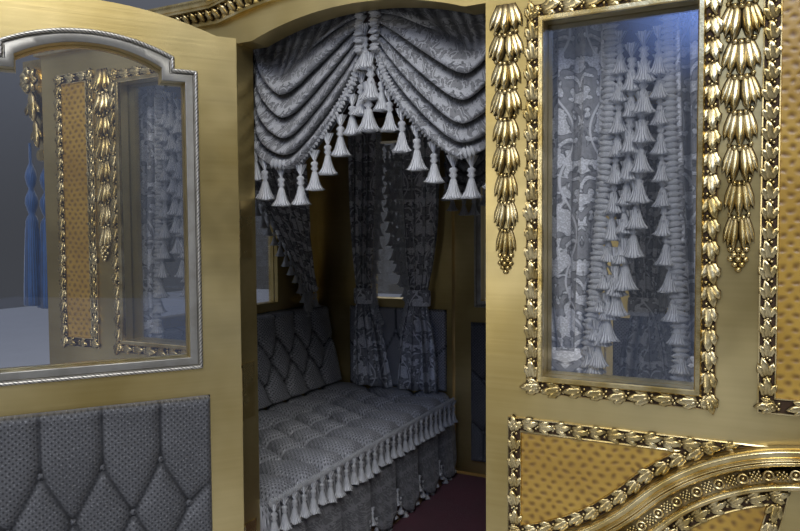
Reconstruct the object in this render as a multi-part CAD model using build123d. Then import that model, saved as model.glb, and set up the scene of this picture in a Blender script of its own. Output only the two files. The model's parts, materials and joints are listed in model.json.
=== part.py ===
"""Body of a gilded state coach, off its running gear, in millimetres.

+X runs along the body, to the right as seen from the near side. The near side faces -Y, and +Z
is up. The origin is the centre of the underside. The far side is the near side turned half round,
and both ends are alike. The near door stands open, and the far door is closed.
"""
from build123d import *
from math import cos, degrees, radians, sin, sqrt
import os

# Body shell
HALF_LENGTH = 990       # centre to the outer face of an end wall
HALF_WIDTH = 690        # centre to the outer face of a side wall
WALL = 60               # side wall and door pillar
END_WALL = 36           # end wall and the curved panel below it
FLAT_HALF = 430         # level stretch of the underside, each way from the centre
ELBOW_Z = 700           # height where the curved lower end meets the upright end wall
FLOOR = 62              # floor frame, underside to the top of its boards
FLOOR_RAIL = 40         # depth of its rim and cross-bars
FLOOR_BAR = 80          # width of its cross-bars
FLOOR_RIM = 60
CARPET = 8
EAVES_Z = 1547          # foot of the cornice over the quarters
SEAT_GAP = 0.3          # between rigid pieces that rest on each other
SOFT_GAP = 0.4          # between soft pieces and what they rest on

# Doorway, the same on both sides
DOOR_HALF = 306         # centre to the pillar
DOORWAY_MARGIN = 49     # eaves to the doorway's shoulders
SHOULDER = 44           # level shoulder at each top corner
ARCH_RISE = 45
DOOR_GAP = 8            # round the closed door
DOOR_T = 50
DOOR_OPEN = 127         # degrees that the near door stands open

# Quarter windows
WINDOW_IN = 116         # pillar to glass
GLASS_Z0 = 779
GLASS_MARGIN = 102      # eaves to the glass
FRAME_BAND = 34         # carved frame round a window
FRAME_OUT = 16          # how far its ridge stands out
FRAME_STEP = 9          # how far its flat edge stands out
FRAME_LIP = 9           # width of that edge, inside and outside the ridge
PANE = 6
PANE_IN = 22            # pane's outer face, in from the wall's face
PANE_LAP = 6            # depth of its groove
PANE_PLAY = 0.5         # between the pane and its groove, all round
END_GLASS_HALF = 330    # half the width of an end window

# Yellow panels and their carved frames
PANEL_OUT = 3
BEAD = 28               # width of the carved frame
BEAD_OUT = 12
NARROW_MARGIN = 58      # end of the body to the narrow panel's frame
NARROW_W = 147
NARROW_GAP = 64         # between that frame and the window's frame
NARROW_Z0 = 749
NARROW_TOP = 58         # eaves to that frame
PANEL_MARGIN = 46       # pillar to the frames of the upper and lower panels
UPPER_TOP = 694         # top of the upper panel's frame
LOWER_MARGIN = 150      # curved end to the lower panel's frame

# S-shaped moulding of the quarters: its centre line is two arcs that meet at the knee
KNEE_IN, KNEE_Z = 312, 555
KNEE_SLOPE = 46
FOOT_R, FOOT_SLOPE = 484, 15
SCROLL_END = 108        # end of the body to the level end of the moulding
SCROLL_W = 70
SCROLL_T = 14
REEDS = [
    # low  high  out, from the centre line and the wall
    (25, 35, 30),
    (11, 20, 24),
    (-35, -27, 28),
]
BOSS_R = 13
BOSS_OUT = 27
BOSS_LINE = -9          # bosses run along this line beside the centre line
BOSSES = 14
BOSS_SIDES = 6
VOLUTE_SIDES = 20
EYE_R, EYE_OUT = 14, 33  # middle of the volute at each end of the moulding
EYE_SIDES = 10

# Husk garlands
GARLAND_MARGIN = 59     # eaves to their tops
GARLANDS = [
    # edge it hangs beside, distance from it, foot, width at the top and the foot, pitch
    ("pillar", 41, 978, 60, 34, 57),
    ("window", 66, 991, 60, 36, 62),
]
HUSK_OUT = 24
HUSK_NECK = 0.4         # depth of a drop's top, as a share of its widest
HUSK_LIP = 0.86         # where a drop is widest, as a share of its pitch
HUSK_LAP = 1.12         # each drop's height, in pitches

# Cornice and roof
CORNICE_H = 50
CORNICE_OUT = 46
CORNICE_IN = 20         # how far it runs in over the wall
CORNICE_RISE = 42       # how far it arches over a door
CORNICE_HALF = 352      # where that arch starts
ROOF_T = 14
ROOF_RISE = 150
ROOF_RIM = 56           # its upright edge, above the wall's top

# Corner consoles and their tassels
CONSOLE_H = 284
CONSOLE_OUT = 92
CONSOLE_W = 84
CONSOLE_BACK = 10       # half the rebate beside its leaf
CONSOLE_HEAD_R, CONSOLE_FOOT_R = 40, 16
CONSOLE_SIDES = 16      # of its two scrolls
TASSEL_PEG_R = 7
PEG_SIDES = 8
TASSEL_DROP = 237       # cornice foot to the tassel's cord
TASSEL_SIDES = 8
TASSEL_PROFILE = [
    # height above the skirt's foot, radius
    (0, 31),
    (228, 20),
    (246, 12),
    (284, 22),
    (318, 10),
    (344, 19),
    (368, 6),
    (464, 5),
]

# Seats
SEAT_FRONT = 300        # centre to the seat board's front
SEAT_BOARD_Z = 290
SEAT_BOARD = 20
CUSHION = 112
CUSHION_OUT = 8
CUSHION_NOSE = 30
SKIRT = 10
SKIRT_FOOT = 84
SKIRT_SWAGS = 7
SKIRT_SWAG = 26         # depth of each swag of its hem
SQUAB = 62              # back cushion
SQUAB_RISE = 44         # how far it stands above the elbow
SQUAB_NOSE = 24
SIDE_PAD = 12
SIDE_PAD_IN = 24        # pillar to the pad beside a seat
SIDE_PAD_GAP = 33       # between that pad and the squab
SIDE_PAD_DROP = 2       # its top, below the squab's

# Hangings
CURTAIN_T = 46
CURTAIN_TOP = EAVES_Z - 47
CURTAIN_TIE_Z = 790
CURTAIN_OUTLINE = [
    # height, near edge and far edge, in from the pillar
    (CURTAIN_TOP, 39, 209),
    (960, 60, 196),
    (CURTAIN_TIE_Z, 94, 188),
    (620, 58, 222),
]
CURTAIN_FOOT = (39, 236)
VALANCE_T = 44
VALANCE_LAP = 20        # how far the swags reach past the pillars
VALANCE_RISE = 20       # its top, above the eaves
SWAG_SIDE, SWAG_LOW, SWAG_MID = 305, 353, 195       # hem below that top
SWAG_LOW_X = 205
SWAG_TAIL_HALF, SWAG_TAIL = 30, 249

# Doors, measured from the door's centre as if closed
DOOR_STILE = 112        # door's edge to its glass
DOOR_GLASS_Z0 = 783
LIGHT_MARGIN = 115      # doorway's shoulders to the glass's
LIGHT_STEP = 48         # width of the glass's shoulder
LIGHT_STEP_H = 26
LIGHT_RISE = 63         # glass's shoulders to its crown
SASH_BAND = 27          # rope moulding and its flat silver band
SASH_T = 4
ROPE_W, ROPE_OUT = 9, 5
PAD_EDGE = 71           # door's edge to the pad
PAD_Z0, PAD_Z1 = 130, 696
PAD_T = 24
PAD_ROUND = 10
DOOR_PANEL_EDGE = 45    # door's edge to the frame of its outer panel
DOOR_PANEL_Z0 = 150

# Hinges and handles
PIVOT_OUT = 12          # hinge pin's axis, out from the wall's face
HINGE_PIN_R = 6
HINGE_PLAY = 0.05       # pin to the bore of the door's knuckle
HINGE_KNUCKLE_R = 11
KNUCKLE_SIDES = 12
HINGE_LENGTH = 134
HINGE_GAP = 0.3         # between knuckles
HINGE_Z = (290, 678, 1065)
HINGE_LEAF_T = 3
HINGE_LEAF_W = 44
HANDLE_Z = 730
HANDLE_EDGE = 26        # door's edge to the handle's stem
ROSE_R, ROSE_T, ROSE_SIDES = 17, 4, 16
STEM_R, STEM_L, STEM_SIDES = 6, 30, 8
GRIP_W, GRIP_T, GRIP_H, GRIP_ROUND = 16, 10, 90, 6

# Iron loops on the curved ends
STRAP_W, STRAP_T = 40, 14
STRAP_Z0, STRAP_Z1 = 8, 260
LOOP_EYE_Z = 50
LOOP_EYE_R = 12.5
LOOP_BOSS_R = 30        # it lies against the strap's outer face
LOOP_BOSS_SIDES = 20
LOOP_T = 26

# Worked out from the sizes above
INNER = HALF_WIDTH - WALL
SHOULDER_Z = EAVES_Z - DOORWAY_MARGIN
GLASS_Z1 = EAVES_Z - GLASS_MARGIN
NARROW_Z1 = EAVES_Z - NARROW_TOP
GARLAND_TOP = EAVES_Z - GARLAND_MARGIN
VALANCE_TOP = EAVES_Z + VALANCE_RISE
LIGHT_SHOULDER_Z = SHOULDER_Z - LIGHT_MARGIN
LIGHT_TOP = LIGHT_SHOULDER_Z + LIGHT_RISE
SQUAB_TOP = ELBOW_Z + SQUAB_RISE
SIDE_PAD_TOP = SQUAB_TOP - SIDE_PAD_DROP
NARROW_X1 = HALF_LENGTH - NARROW_MARGIN
NARROW_X0 = NARROW_X1 - NARROW_W
GLASS_X0 = DOOR_HALF + WINDOW_IN
GLASS_X1 = NARROW_X0 - NARROW_GAP - FRAME_BAND
PANEL_X0 = DOOR_HALF + PANEL_MARGIN
KNEE = (DOOR_HALF + KNEE_IN, KNEE_Z)
HEAD_R = (HALF_LENGTH - SCROLL_END - KNEE[0]) / sin(radians(KNEE_SLOPE))
LEAF_HALF = DOOR_HALF - DOOR_GAP
SIDE_PAD_X0 = DOOR_HALF + SIDE_PAD_IN
# Circle of the curved lower end: through the end of the flat underside, upright at the elbow
ELBOW_CX = (HALF_LENGTH ** 2 - FLAT_HALF ** 2 - ELBOW_Z ** 2) / (2 * (HALF_LENGTH - FLAT_HALF))
ELBOW_R = HALF_LENGTH - ELBOW_CX
CORNICE_R = (CORNICE_HALF ** 2 + CORNICE_RISE ** 2) / (2 * CORNICE_RISE)
CUSHION_TOP = SEAT_BOARD_Z + SOFT_GAP + CUSHION

os.makedirs("parts", exist_ok=True)


def slab(face, out, thick):
    """Extrude an XZ outline so that its outer face lies `out` from the middle plane."""
    return extrude(Plane.XZ.offset(out - thick) * face, thick)


def box(x0, x1, y0, y1, z0, z1):
    return Pos((x0 + x1) / 2, (y0 + y1) / 2, (z0 + z1) / 2) * Box(x1 - x0, y1 - y0, z1 - z0)


def rect(x0, x1, z0, z1):
    return Pos((x0 + x1) / 2, (z0 + z1) / 2) * Rectangle(x1 - x0, z1 - z0)


def grown(outline, by):
    """The rectangle (x0, x1, z0, z1), larger by `by` all round."""
    x0, x1, z0, z1 = outline
    return rect(x0 - by, x1 + by, z0 - by, z1 + by)


def polygon(*points):
    return make_face(Polyline(*points, points[0]))


def mirrored(shape):
    return mirror(shape, about=Plane.YZ)


def turned(shape):
    return Rot(0, 0, 180) * shape


def all_quarters(shape):
    """The four copies of a piece of the near right quarter."""
    near = [shape, mirrored(shape)]
    return near + [turned(piece) for piece in near]


def both_sides(shape):
    return [shape, turned(shape)]


def save(node, *shapes):
    solids = []
    for shape in shapes:
        solids += shape.solids()
    for solid in solids:
        assert solid.is_valid, node
    export_step(Compound(children=solids) if len(solids) > 1 else solids[0], f"parts/{node}.step")
    print(f"{node:20s} {len(solids):3d} solids {sum(s.volume for s in solids) / 1e6:9.3f} litres")


# Walls, floor and panes

def arched(half, foot, shoulder_z, step, crown):
    """An opening's outline: upright sides, level shoulders, then an arch."""
    return make_face(
        Polyline((-half + step, shoulder_z), (-half, shoulder_z), (-half, foot), (half, foot),
                 (half, shoulder_z), (half - step, shoulder_z))
        + ThreePointArc((half - step, shoulder_z), (0, crown), (-half + step, shoulder_z))
    )


def elbow_x(z, inset=0):
    """Face of the body's end at height z, on the circle that ends upright at the elbow."""
    if z >= ELBOW_Z:
        return HALF_LENGTH - inset
    return ELBOW_CX + sqrt((ELBOW_R - inset) ** 2 - (ELBOW_Z - z) ** 2)


def elbow_arc(z0, z1, inset=0):
    """Arc of the body's end from height z0 to height z1."""
    ends = [(elbow_x(z, inset), z) for z in (z0, (z0 + z1) / 2, z1)]
    return ThreePointArc(*ends)


def quarter():
    """Side wall from its door pillar to the end of the body, with its window and pane groove."""
    outline = make_face(
        Polyline((HALF_LENGTH, ELBOW_Z), (HALF_LENGTH, EAVES_Z), (DOOR_HALF, EAVES_Z),
                 (DOOR_HALF, 0), (FLAT_HALF, 0))
        + elbow_arc(0, ELBOW_Z)
    )
    window = (GLASS_X0, GLASS_X1, GLASS_Z0, GLASS_Z1)
    wall = slab(outline - rect(*window), HALF_WIDTH, WALL)
    return wall - slab(grown(window, PANE_LAP), HALF_WIDTH - PANE_IN, PANE)


def header():
    """Rail over a doorway with its arched lower edge, and the thin crest behind the cornice."""
    rail = rect(-DOOR_HALF, DOOR_HALF, SHOULDER_Z, EAVES_Z)
    doorway = arched(DOOR_HALF, SHOULDER_Z - WALL, SHOULDER_Z, SHOULDER, SHOULDER_Z + ARCH_RISE)
    crest = make_face(
        Line((-CORNICE_HALF, EAVES_Z), (CORNICE_HALF, EAVES_Z))
        + ThreePointArc((CORNICE_HALF, EAVES_Z), (0, EAVES_Z + CORNICE_RISE), (-CORNICE_HALF, EAVES_Z))
    )
    return slab(rail - doorway, HALF_WIDTH, WALL) + slab(crest, HALF_WIDTH, CORNICE_IN)


def sill():
    return slab(rect(-DOOR_HALF, DOOR_HALF, 0, FLOOR + CARPET), HALF_WIDTH, WALL)


def end_wall():
    """Upright wall with its window, and the curved panel that runs down to the floor frame."""
    skin = make_face(
        Polyline((HALF_LENGTH - END_WALL, ELBOW_Z), (HALF_LENGTH - END_WALL, EAVES_Z),
                 (HALF_LENGTH, EAVES_Z), (HALF_LENGTH, ELBOW_Z))
        + elbow_arc(ELBOW_Z, 0)
        + Polyline((FLAT_HALF, 0), (FLAT_HALF, FLOOR), (elbow_x(FLOOR, END_WALL), FLOOR))
        + elbow_arc(FLOOR, ELBOW_Z, END_WALL)
    )
    wall = slab(skin, INNER, 2 * INNER)
    wall -= box(0, 2 * HALF_LENGTH, -END_GLASS_HALF, END_GLASS_HALF, GLASS_Z0, GLASS_Z1)
    return wall - end_pane(0)


def end_pane(play):
    """Pane of an end window, smaller than its groove by `play` all round."""
    mid = HALF_LENGTH - END_WALL / 2
    lap = PANE_LAP - play
    half = PANE / 2 - play
    wide = END_GLASS_HALF + lap
    return box(mid - half, mid + half, -wide, wide, GLASS_Z0 - lap, GLASS_Z1 + lap)


def quarter_pane():
    outline = grown((GLASS_X0, GLASS_X1, GLASS_Z0, GLASS_Z1), PANE_LAP - PANE_PLAY)
    return slab(outline, HALF_WIDTH - PANE_IN - PANE_PLAY, PANE - 2 * PANE_PLAY)


def floor_frame():
    """Boards on a rim and two crossing bars, open below between them."""
    frame = box(-FLAT_HALF, FLAT_HALF, -INNER, INNER, 0, FLOOR)
    bar, bay_x, bay_y = FLOOR_BAR / 2, FLAT_HALF - FLOOR_RIM, INNER - FLOOR_RIM
    for bay in all_quarters(box(bar, bay_x, -bay_y, -bar, 0, FLOOR_RAIL)):
        frame -= bay
    return frame


# Frames, panels and the S-shaped moulding

def window_frame():
    """Carved frame round a quarter window: a ridge between two flat edges."""
    hole = (GLASS_X0, GLASS_X1, GLASS_Z0, GLASS_Z1)
    edge = grown(hole, FRAME_BAND) - rect(*hole)
    ridge = grown(hole, FRAME_BAND - FRAME_LIP) - grown(hole, FRAME_LIP)
    return slab(edge, HALF_WIDTH + FRAME_STEP, FRAME_STEP) + slab(ridge, HALF_WIDTH + FRAME_OUT, FRAME_OUT)


def end_window_frame():
    def block(by, out):
        half = END_GLASS_HALF + by
        return box(HALF_LENGTH, HALF_LENGTH + out, -half, half, GLASS_Z0 - by, GLASS_Z1 + by)

    edge = block(FRAME_BAND, FRAME_STEP) - block(0, FRAME_STEP)
    return edge + (block(FRAME_BAND - FRAME_LIP, FRAME_OUT) - block(FRAME_LIP, FRAME_OUT))


def scroll_point(slope, off, head):
    """Point beside the S-moulding's centre line, where that line has the given slope."""
    s, c = sin(radians(slope)), cos(radians(slope))
    ks, kc = sin(radians(KNEE_SLOPE)), cos(radians(KNEE_SLOPE))
    if head:
        cx, cz, r = KNEE[0] + HEAD_R * ks, KNEE[1] - HEAD_R * kc, HEAD_R + off
        return (cx - r * s, cz + r * c)
    cx, cz, r = KNEE[0] - FOOT_R * ks, KNEE[1] + FOOT_R * kc, FOOT_R - off
    return (cx + r * s, cz - r * c)


def scroll_edge(off, foot_slope):
    """Line beside the S-moulding's centre line, from its foot over the knee to its level end."""
    middle = (foot_slope + KNEE_SLOPE) / 2
    foot = [scroll_point(slope, off, False) for slope in (foot_slope, middle, KNEE_SLOPE)]
    head = [scroll_point(slope, off, True) for slope in (KNEE_SLOPE, KNEE_SLOPE / 2, 0)]
    return foot, head


def scroll_band(low, high):
    """Strip of the S-moulding between two lines beside its centre line."""
    (a0, a1, a2), (a3, a4, a5) = scroll_edge(high, FOOT_SLOPE)
    (b0, b1, b2), (b3, b4, b5) = scroll_edge(low, FOOT_SLOPE)
    return make_face(
        ThreePointArc(a0, a1, a2) + ThreePointArc(a3, a4, a5) + Line(a5, b5)
        + ThreePointArc(b5, b4, b3) + ThreePointArc(b2, b1, b0) + Line(b0, a0)
    )


def above_scroll(off):
    """All of the side that lies above a line beside the S-moulding's centre line."""
    (a0, a1, a2), (a3, a4, a5) = scroll_edge(off, 0)
    return make_face(
        ThreePointArc(a0, a1, a2) + ThreePointArc(a3, a4, a5)
        + Polyline(a5, (HALF_LENGTH, a5[1]), (HALF_LENGTH, EAVES_Z), (a0[0], EAVES_Z), a0)
    )


def s_moulding():
    """Reeded S-shaped moulding with a row of bosses and a round volute at each end."""
    piece = slab(scroll_band(-SCROLL_W / 2, SCROLL_W / 2), HALF_WIDTH + SCROLL_T, SCROLL_T)
    for low, high, out in REEDS:
        piece += slab(scroll_band(low, high), HALF_WIDTH + out, out)
    for i in range(BOSSES):
        share = (i + 0.5) / BOSSES * 2
        head = share > 1
        slope = KNEE_SLOPE * (2 - share) if head else FOOT_SLOPE + (KNEE_SLOPE - FOOT_SLOPE) * share
        x, z = scroll_point(slope, BOSS_LINE, head)
        boss = Pos(x, z) * RegularPolygon(BOSS_R, BOSS_SIDES)
        piece += slab(boss, HALF_WIDTH + BOSS_OUT, BOSS_OUT)
    for slope, head in ((FOOT_SLOPE, False), (0, True)):
        x, z = scroll_point(slope, 0, head)
        disc = Pos(x, z) * RegularPolygon(SCROLL_W / 2, VOLUTE_SIDES)
        eye = Pos(x, z) * RegularPolygon(EYE_R, EYE_SIDES)
        piece += slab(disc, HALF_WIDTH + BOSS_OUT, BOSS_OUT) + slab(eye, HALF_WIDTH + EYE_OUT, EYE_OUT)
    return piece


def upper_panel(inset):
    """Outline over the S-moulding: level top, upright left side, and a foot that follows it."""
    block = rect(PANEL_X0 + inset, KNEE[0] + HEAD_R, KNEE_Z - FOOT_R, UPPER_TOP - inset)
    return block & above_scroll(SCROLL_W / 2 + inset)


def lower_panel(inset):
    """Outline under the S-moulding, which follows the body's curved end on its other side."""
    reach = ELBOW_R - LOWER_MARGIN - inset
    block = rect(PANEL_X0 + inset, HALF_LENGTH, 0, ELBOW_Z) & (Pos(ELBOW_CX, ELBOW_Z) * Circle(reach))
    return block - above_scroll(-SCROLL_W / 2 - inset)


def narrow_panel(inset):
    return grown((NARROW_X0, NARROW_X1, NARROW_Z0, NARROW_Z1), -inset)


# Garlands, cornice, roof and consoles

def husk(wide, tall):
    """Outline of one drop of a garland: a bell with three pointed leaves, hung from (0, 0)."""
    w = wide / 2
    return polygon((-0.5 * w, 0), (-w, -0.8 * tall), (-0.5 * w, -0.66 * tall), (0, -tall),
                   (0.5 * w, -0.66 * tall), (w, -0.8 * tall), (0.5 * w, 0))


def garland(edge, distance, foot, wide, narrow, pitch):
    """String of drops that swell from neck to lip: their outline, cut to a toothed side profile."""
    x = distance + (DOOR_HALF if edge == "pillar" else GLASS_X1)
    drops = round((GARLAND_TOP - foot) / pitch)
    pitch = (GARLAND_TOP - foot) / drops
    outline = None
    profile = [(-HALF_WIDTH, GARLAND_TOP)]
    for i in range(drops):
        width = wide + (narrow - wide) * i / (drops - 1)
        top, out = GARLAND_TOP - i * pitch, HUSK_OUT * width / wide
        face = Pos(x, top) * husk(width, pitch * HUSK_LAP)
        outline = face if outline is None else outline + face
        profile += [(-HALF_WIDTH - HUSK_NECK * out, top), (-HALF_WIDTH - out, top - HUSK_LIP * pitch)]
    profile += [(-HALF_WIDTH - HUSK_NECK * out, top - HUSK_LAP * pitch), (-HALF_WIDTH, top - HUSK_LAP * pitch)]
    teeth = extrude(Plane.YZ.offset(x - wide) * polygon(*profile), 2 * wide)
    return slab(outline, HALF_WIDTH + HUSK_OUT, HUSK_OUT) & teeth


def cornice_section():
    """Half the cornice's section: distance out from the wall, height above its foot."""
    out, high = CORNICE_OUT, CORNICE_H
    return [
        ("line", (0, 0), (0.3 * out, 0), (0.3 * out, 0.16 * high)),
        ("arc", (0.3 * out, 0.16 * high), (0.44 * out, 0.44 * high), (0.72 * out, 0.58 * high)),
        ("line", (0.72 * out, 0.58 * high), (0.8 * out, 0.58 * high), (0.8 * out, 0.68 * high)),
        ("arc", (0.8 * out, 0.68 * high), (0.95 * out, 0.78 * high), (out, 0.92 * high)),
        ("line", (out, 0.92 * high), (out, high)),
    ]


def cornice_bar(half):
    """Outline across the whole body, with the cornice's section at both ends."""
    edges = None
    for side in (1, -1):
        for kind, *points in cornice_section():
            moved = [(side * (half + out), EAVES_Z + high) for out, high in points]
            edge = ThreePointArc(*moved) if kind == "arc" else Polyline(*moved)
            edges = edge if edges is None else edges + edge
    top, foot = EAVES_Z + CORNICE_H, EAVES_Z
    edges += Line((half + CORNICE_OUT, top), (-half - CORNICE_OUT, top))
    edges += Line((half, foot), (-half, foot))
    return make_face(edges)


def cornice_arch():
    """The stretch over a door: the same section turned about the arch's centre."""
    edges = None
    for kind, *points in cornice_section():
        moved = [(out, CORNICE_R + high) for out, high in points]
        edge = ThreePointArc(*moved) if kind == "arc" else Polyline(*moved)
        edges = edge if edges is None else edges + edge
    top = CORNICE_R + CORNICE_H
    edges += Polyline((CORNICE_OUT, top), (-CORNICE_IN, top), (-CORNICE_IN, CORNICE_R), (0, CORNICE_R))
    section = make_face(edges)
    centre_z = EAVES_Z + CORNICE_RISE - CORNICE_R
    place = Plane(origin=(0, -HALF_WIDTH, centre_z), x_dir=(0, -1, 0), z_dir=(-1, 0, 0))
    past_mitre = degrees(1.5 * CORNICE_HALF / CORNICE_R)
    arch = revolve(place * section, Axis((0, 0, centre_z), (0, 1, 0)), 2 * past_mitre)
    return Pos(0, 0, centre_z) * Rot(0, -past_mitre, 0) * Pos(0, 0, -centre_z) * arch


def mitre_block(grow):
    """All that lies between the two mitres where the cornice starts to arch, wider by grow."""
    lean = 0.5 * CORNICE_HALF / CORNICE_R       # half the turn between the two runs
    below, above = CORNICE_H, CORNICE_RISE + 2 * CORNICE_H
    foot, top = CORNICE_HALF + grow - below * lean, CORNICE_HALF + grow + above * lean
    low, high = EAVES_Z - below, EAVES_Z + above
    deep = HALF_WIDTH + 2 * CORNICE_OUT
    return slab(polygon((-foot, low), (foot, low), (top, high), (-top, high)), deep, 2 * deep)


def cornice():
    """Moulding round the eaves: two runs round the ends, mitred to the arches over the doors."""
    reach = HALF_LENGTH + 2 * CORNICE_OUT
    wide = HALF_WIDTH + 2 * CORNICE_OUT
    across = extrude(Plane.YZ.offset(-reach) * cornice_bar(HALF_WIDTH), 2 * reach)
    ring = across & slab(cornice_bar(HALF_LENGTH), wide, 2 * wide)
    hole_x, hole_y = HALF_LENGTH - CORNICE_IN, HALF_WIDTH - CORNICE_IN
    ring -= box(-hole_x, hole_x, -hole_y, hole_y, EAVES_Z - CORNICE_H, EAVES_Z + 2 * CORNICE_H)
    arch = cornice_arch() & mitre_block(0)
    return [ring - mitre_block(SEAT_GAP), arch, turned(arch)]


def dome(shrink):
    """Pillow-shaped block under the roof's outer or inner face."""
    foot = EAVES_Z + SEAT_GAP
    inset = CORNICE_IN + SEAT_GAP + shrink
    long_half, wide_half = HALF_LENGTH - inset, HALF_WIDTH - inset
    rim = EAVES_Z + ROOF_RIM - shrink
    top = rim + ROOF_RISE

    def hump(half):
        return make_face(
            Polyline((-half, rim), (-half, foot), (half, foot), (half, rim))
            + ThreePointArc((half, rim), (0, top), (-half, rim))
        )

    along = slab(hump(long_half), wide_half, 2 * wide_half)
    return along & extrude(Plane.YZ.offset(-long_half) * hump(wide_half), 2 * long_half)


def roof():
    return dome(0) - dome(ROOF_T)


def tassel_place():
    return HALF_LENGTH + CONSOLE_OUT / 2, -HALF_WIDTH + CONSOLE_W / 2


def console():
    """Scrolled bracket under a corner of the cornice, with the peg that its tassel hangs from."""
    high, out = CONSOLE_H, CONSOLE_OUT
    leaf = make_face(
        Polyline((0, 0), (0, high), (out, high), (out, high - 0.12 * high))
        + ThreePointArc((out, high - 0.12 * high), (0.5 * out, 0.46 * high), (0.3 * out, 0))
        + Line((0.3 * out, 0), (0, 0))
    )
    half = CONSOLE_W / 2
    piece = slab(leaf, half - CONSOLE_BACK, 2 * (half - CONSOLE_BACK))
    head = (out - CONSOLE_HEAD_R, high - CONSOLE_HEAD_R - 0.06 * high)
    for (x, z), r in ((head, CONSOLE_HEAD_R), ((CONSOLE_FOOT_R, CONSOLE_FOOT_R), CONSOLE_FOOT_R)):
        piece += slab(Pos(x, z) * RegularPolygon(r, CONSOLE_SIDES), half, CONSOLE_W)
    x, y = tassel_place()
    piece = Pos(HALF_LENGTH, y, EAVES_Z - SEAT_GAP - high) * piece
    foot = Plane.XY.offset(EAVES_Z - SEAT_GAP - TASSEL_DROP)
    return piece + extrude(foot * Pos(x, y) * RegularPolygon(TASSEL_PEG_R, PEG_SIDES), TASSEL_DROP)


def tassel():
    """Corner tassel: skirt, collar, two knobs and cord, in flat-sided rings."""
    x, y = tassel_place()
    top = EAVES_Z - 2 * SEAT_GAP - TASSEL_DROP
    height = TASSEL_PROFILE[-1][0]
    rings = [Pos(x, y, top - height + z) * RegularPolygon(r, TASSEL_SIDES) for z, r in TASSEL_PROFILE]
    return loft(rings, ruled=True)


# Seats and hangings

def seat_box():
    """Front board and seat board, which runs back to the curved end."""
    riser = box(SEAT_FRONT, SEAT_FRONT + SEAT_BOARD, -INNER, INNER, FLOOR + CARPET, SEAT_BOARD_Z)
    back = elbow_x(SEAT_BOARD_Z - SEAT_BOARD, END_WALL) - SEAT_GAP
    return riser + box(SEAT_FRONT, back, -INNER, INNER, SEAT_BOARD_Z - SEAT_BOARD, SEAT_BOARD_Z)


def seat_cushion():
    half = INNER - SOFT_GAP
    foot, top = SEAT_BOARD_Z + SOFT_GAP, CUSHION_TOP
    front = SEAT_FRONT - CUSHION_OUT
    side = polygon((front, foot), (elbow_x(foot, END_WALL) - SOFT_GAP, foot),
                   (elbow_x(top, END_WALL) - SOFT_GAP, top), (front, top))
    body = slab(side, half, 2 * half)
    nose = body.edges().filter_by(Axis.Y).group_by(Axis.X)[0].sort_by(Axis.Z)[-1]
    return fillet(nose, CUSHION_NOSE)


def seat_skirt():
    """Cloth over the front board, its hem cut in swags."""
    half = INNER - SOFT_GAP
    wide = 2 * half / SKIRT_SWAGS
    edges = Polyline((-half, SKIRT_FOOT), (-half, SEAT_BOARD_Z), (half, SEAT_BOARD_Z), (half, SKIRT_FOOT))
    for i in range(SKIRT_SWAGS):
        y0 = half - i * wide
        edges += ThreePointArc((y0, SKIRT_FOOT), (y0 - wide / 2, SKIRT_FOOT + SKIRT_SWAG),
                               (y0 - wide, SKIRT_FOOT))
    return extrude(Plane.YZ.offset(SEAT_FRONT - SOFT_GAP - SKIRT) * make_face(edges), SKIRT)


def squab():
    """Back cushion that stands on the seat cushion and leans on the end wall."""
    half = INNER - SOFT_GAP
    z0 = CUSHION_TOP + SOFT_GAP
    foot, top = elbow_x(z0, END_WALL) - SOFT_GAP, HALF_LENGTH - END_WALL - SOFT_GAP
    side = polygon((foot, z0), (top, ELBOW_Z), (top, SQUAB_TOP), (top - SQUAB, SQUAB_TOP),
                   (foot - SQUAB, z0))
    body = slab(side, half, 2 * half)
    nose = body.edges().filter_by(Axis.Y).group_by(Axis.Z)[-1].sort_by(Axis.X)[0]
    return fillet(nose, SQUAB_NOSE)


def side_pad():
    """Padded panel beside a seat, from near the door pillar to near the squab."""
    z0 = CUSHION_TOP + SOFT_GAP
    x1 = elbow_x(z0, END_WALL) - SOFT_GAP - SQUAB - SIDE_PAD_GAP
    return slab(rect(SIDE_PAD_X0, x1, z0, SIDE_PAD_TOP), INNER - SOFT_GAP, SIDE_PAD)


def curtains():
    """The two gathered curtains of a quarter window, each tied in at its waist."""
    foot_z = CUSHION_TOP + SOFT_GAP
    rows = CURTAIN_OUTLINE + [(foot_z, *CURTAIN_FOOT)]
    outer = [(DOOR_HALF + far, z) for z, near, far in rows]
    inner = [(DOOR_HALF + near, z) for z, near, far in rows]
    face = polygon(*inner, *reversed(outer))
    middle = (GLASS_X0 + GLASS_X1) / 2
    piece = slab(face, INNER - SIDE_PAD - 2 * SOFT_GAP, CURTAIN_T)
    return [piece, Pos(2 * middle, 0, 0) * mirrored(piece)]


def valance():
    """Two swags over a doorway, with a tail between them."""
    half, top = DOOR_HALF + VALANCE_LAP, VALANCE_TOP
    edges = Polyline((-half, top - SWAG_SIDE), (-half, top), (half, top), (half, top - SWAG_SIDE))
    for side in (1, -1):
        edges += ThreePointArc((side * half, top - SWAG_SIDE), (side * SWAG_LOW_X, top - SWAG_LOW),
                               (side * SWAG_TAIL_HALF, top - SWAG_MID))
    edges += Polyline((SWAG_TAIL_HALF, top - SWAG_MID), (0, top - SWAG_TAIL), (-SWAG_TAIL_HALF, top - SWAG_MID))
    return slab(make_face(edges), INNER - SOFT_GAP, VALANCE_T)


# Doors, built closed

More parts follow.
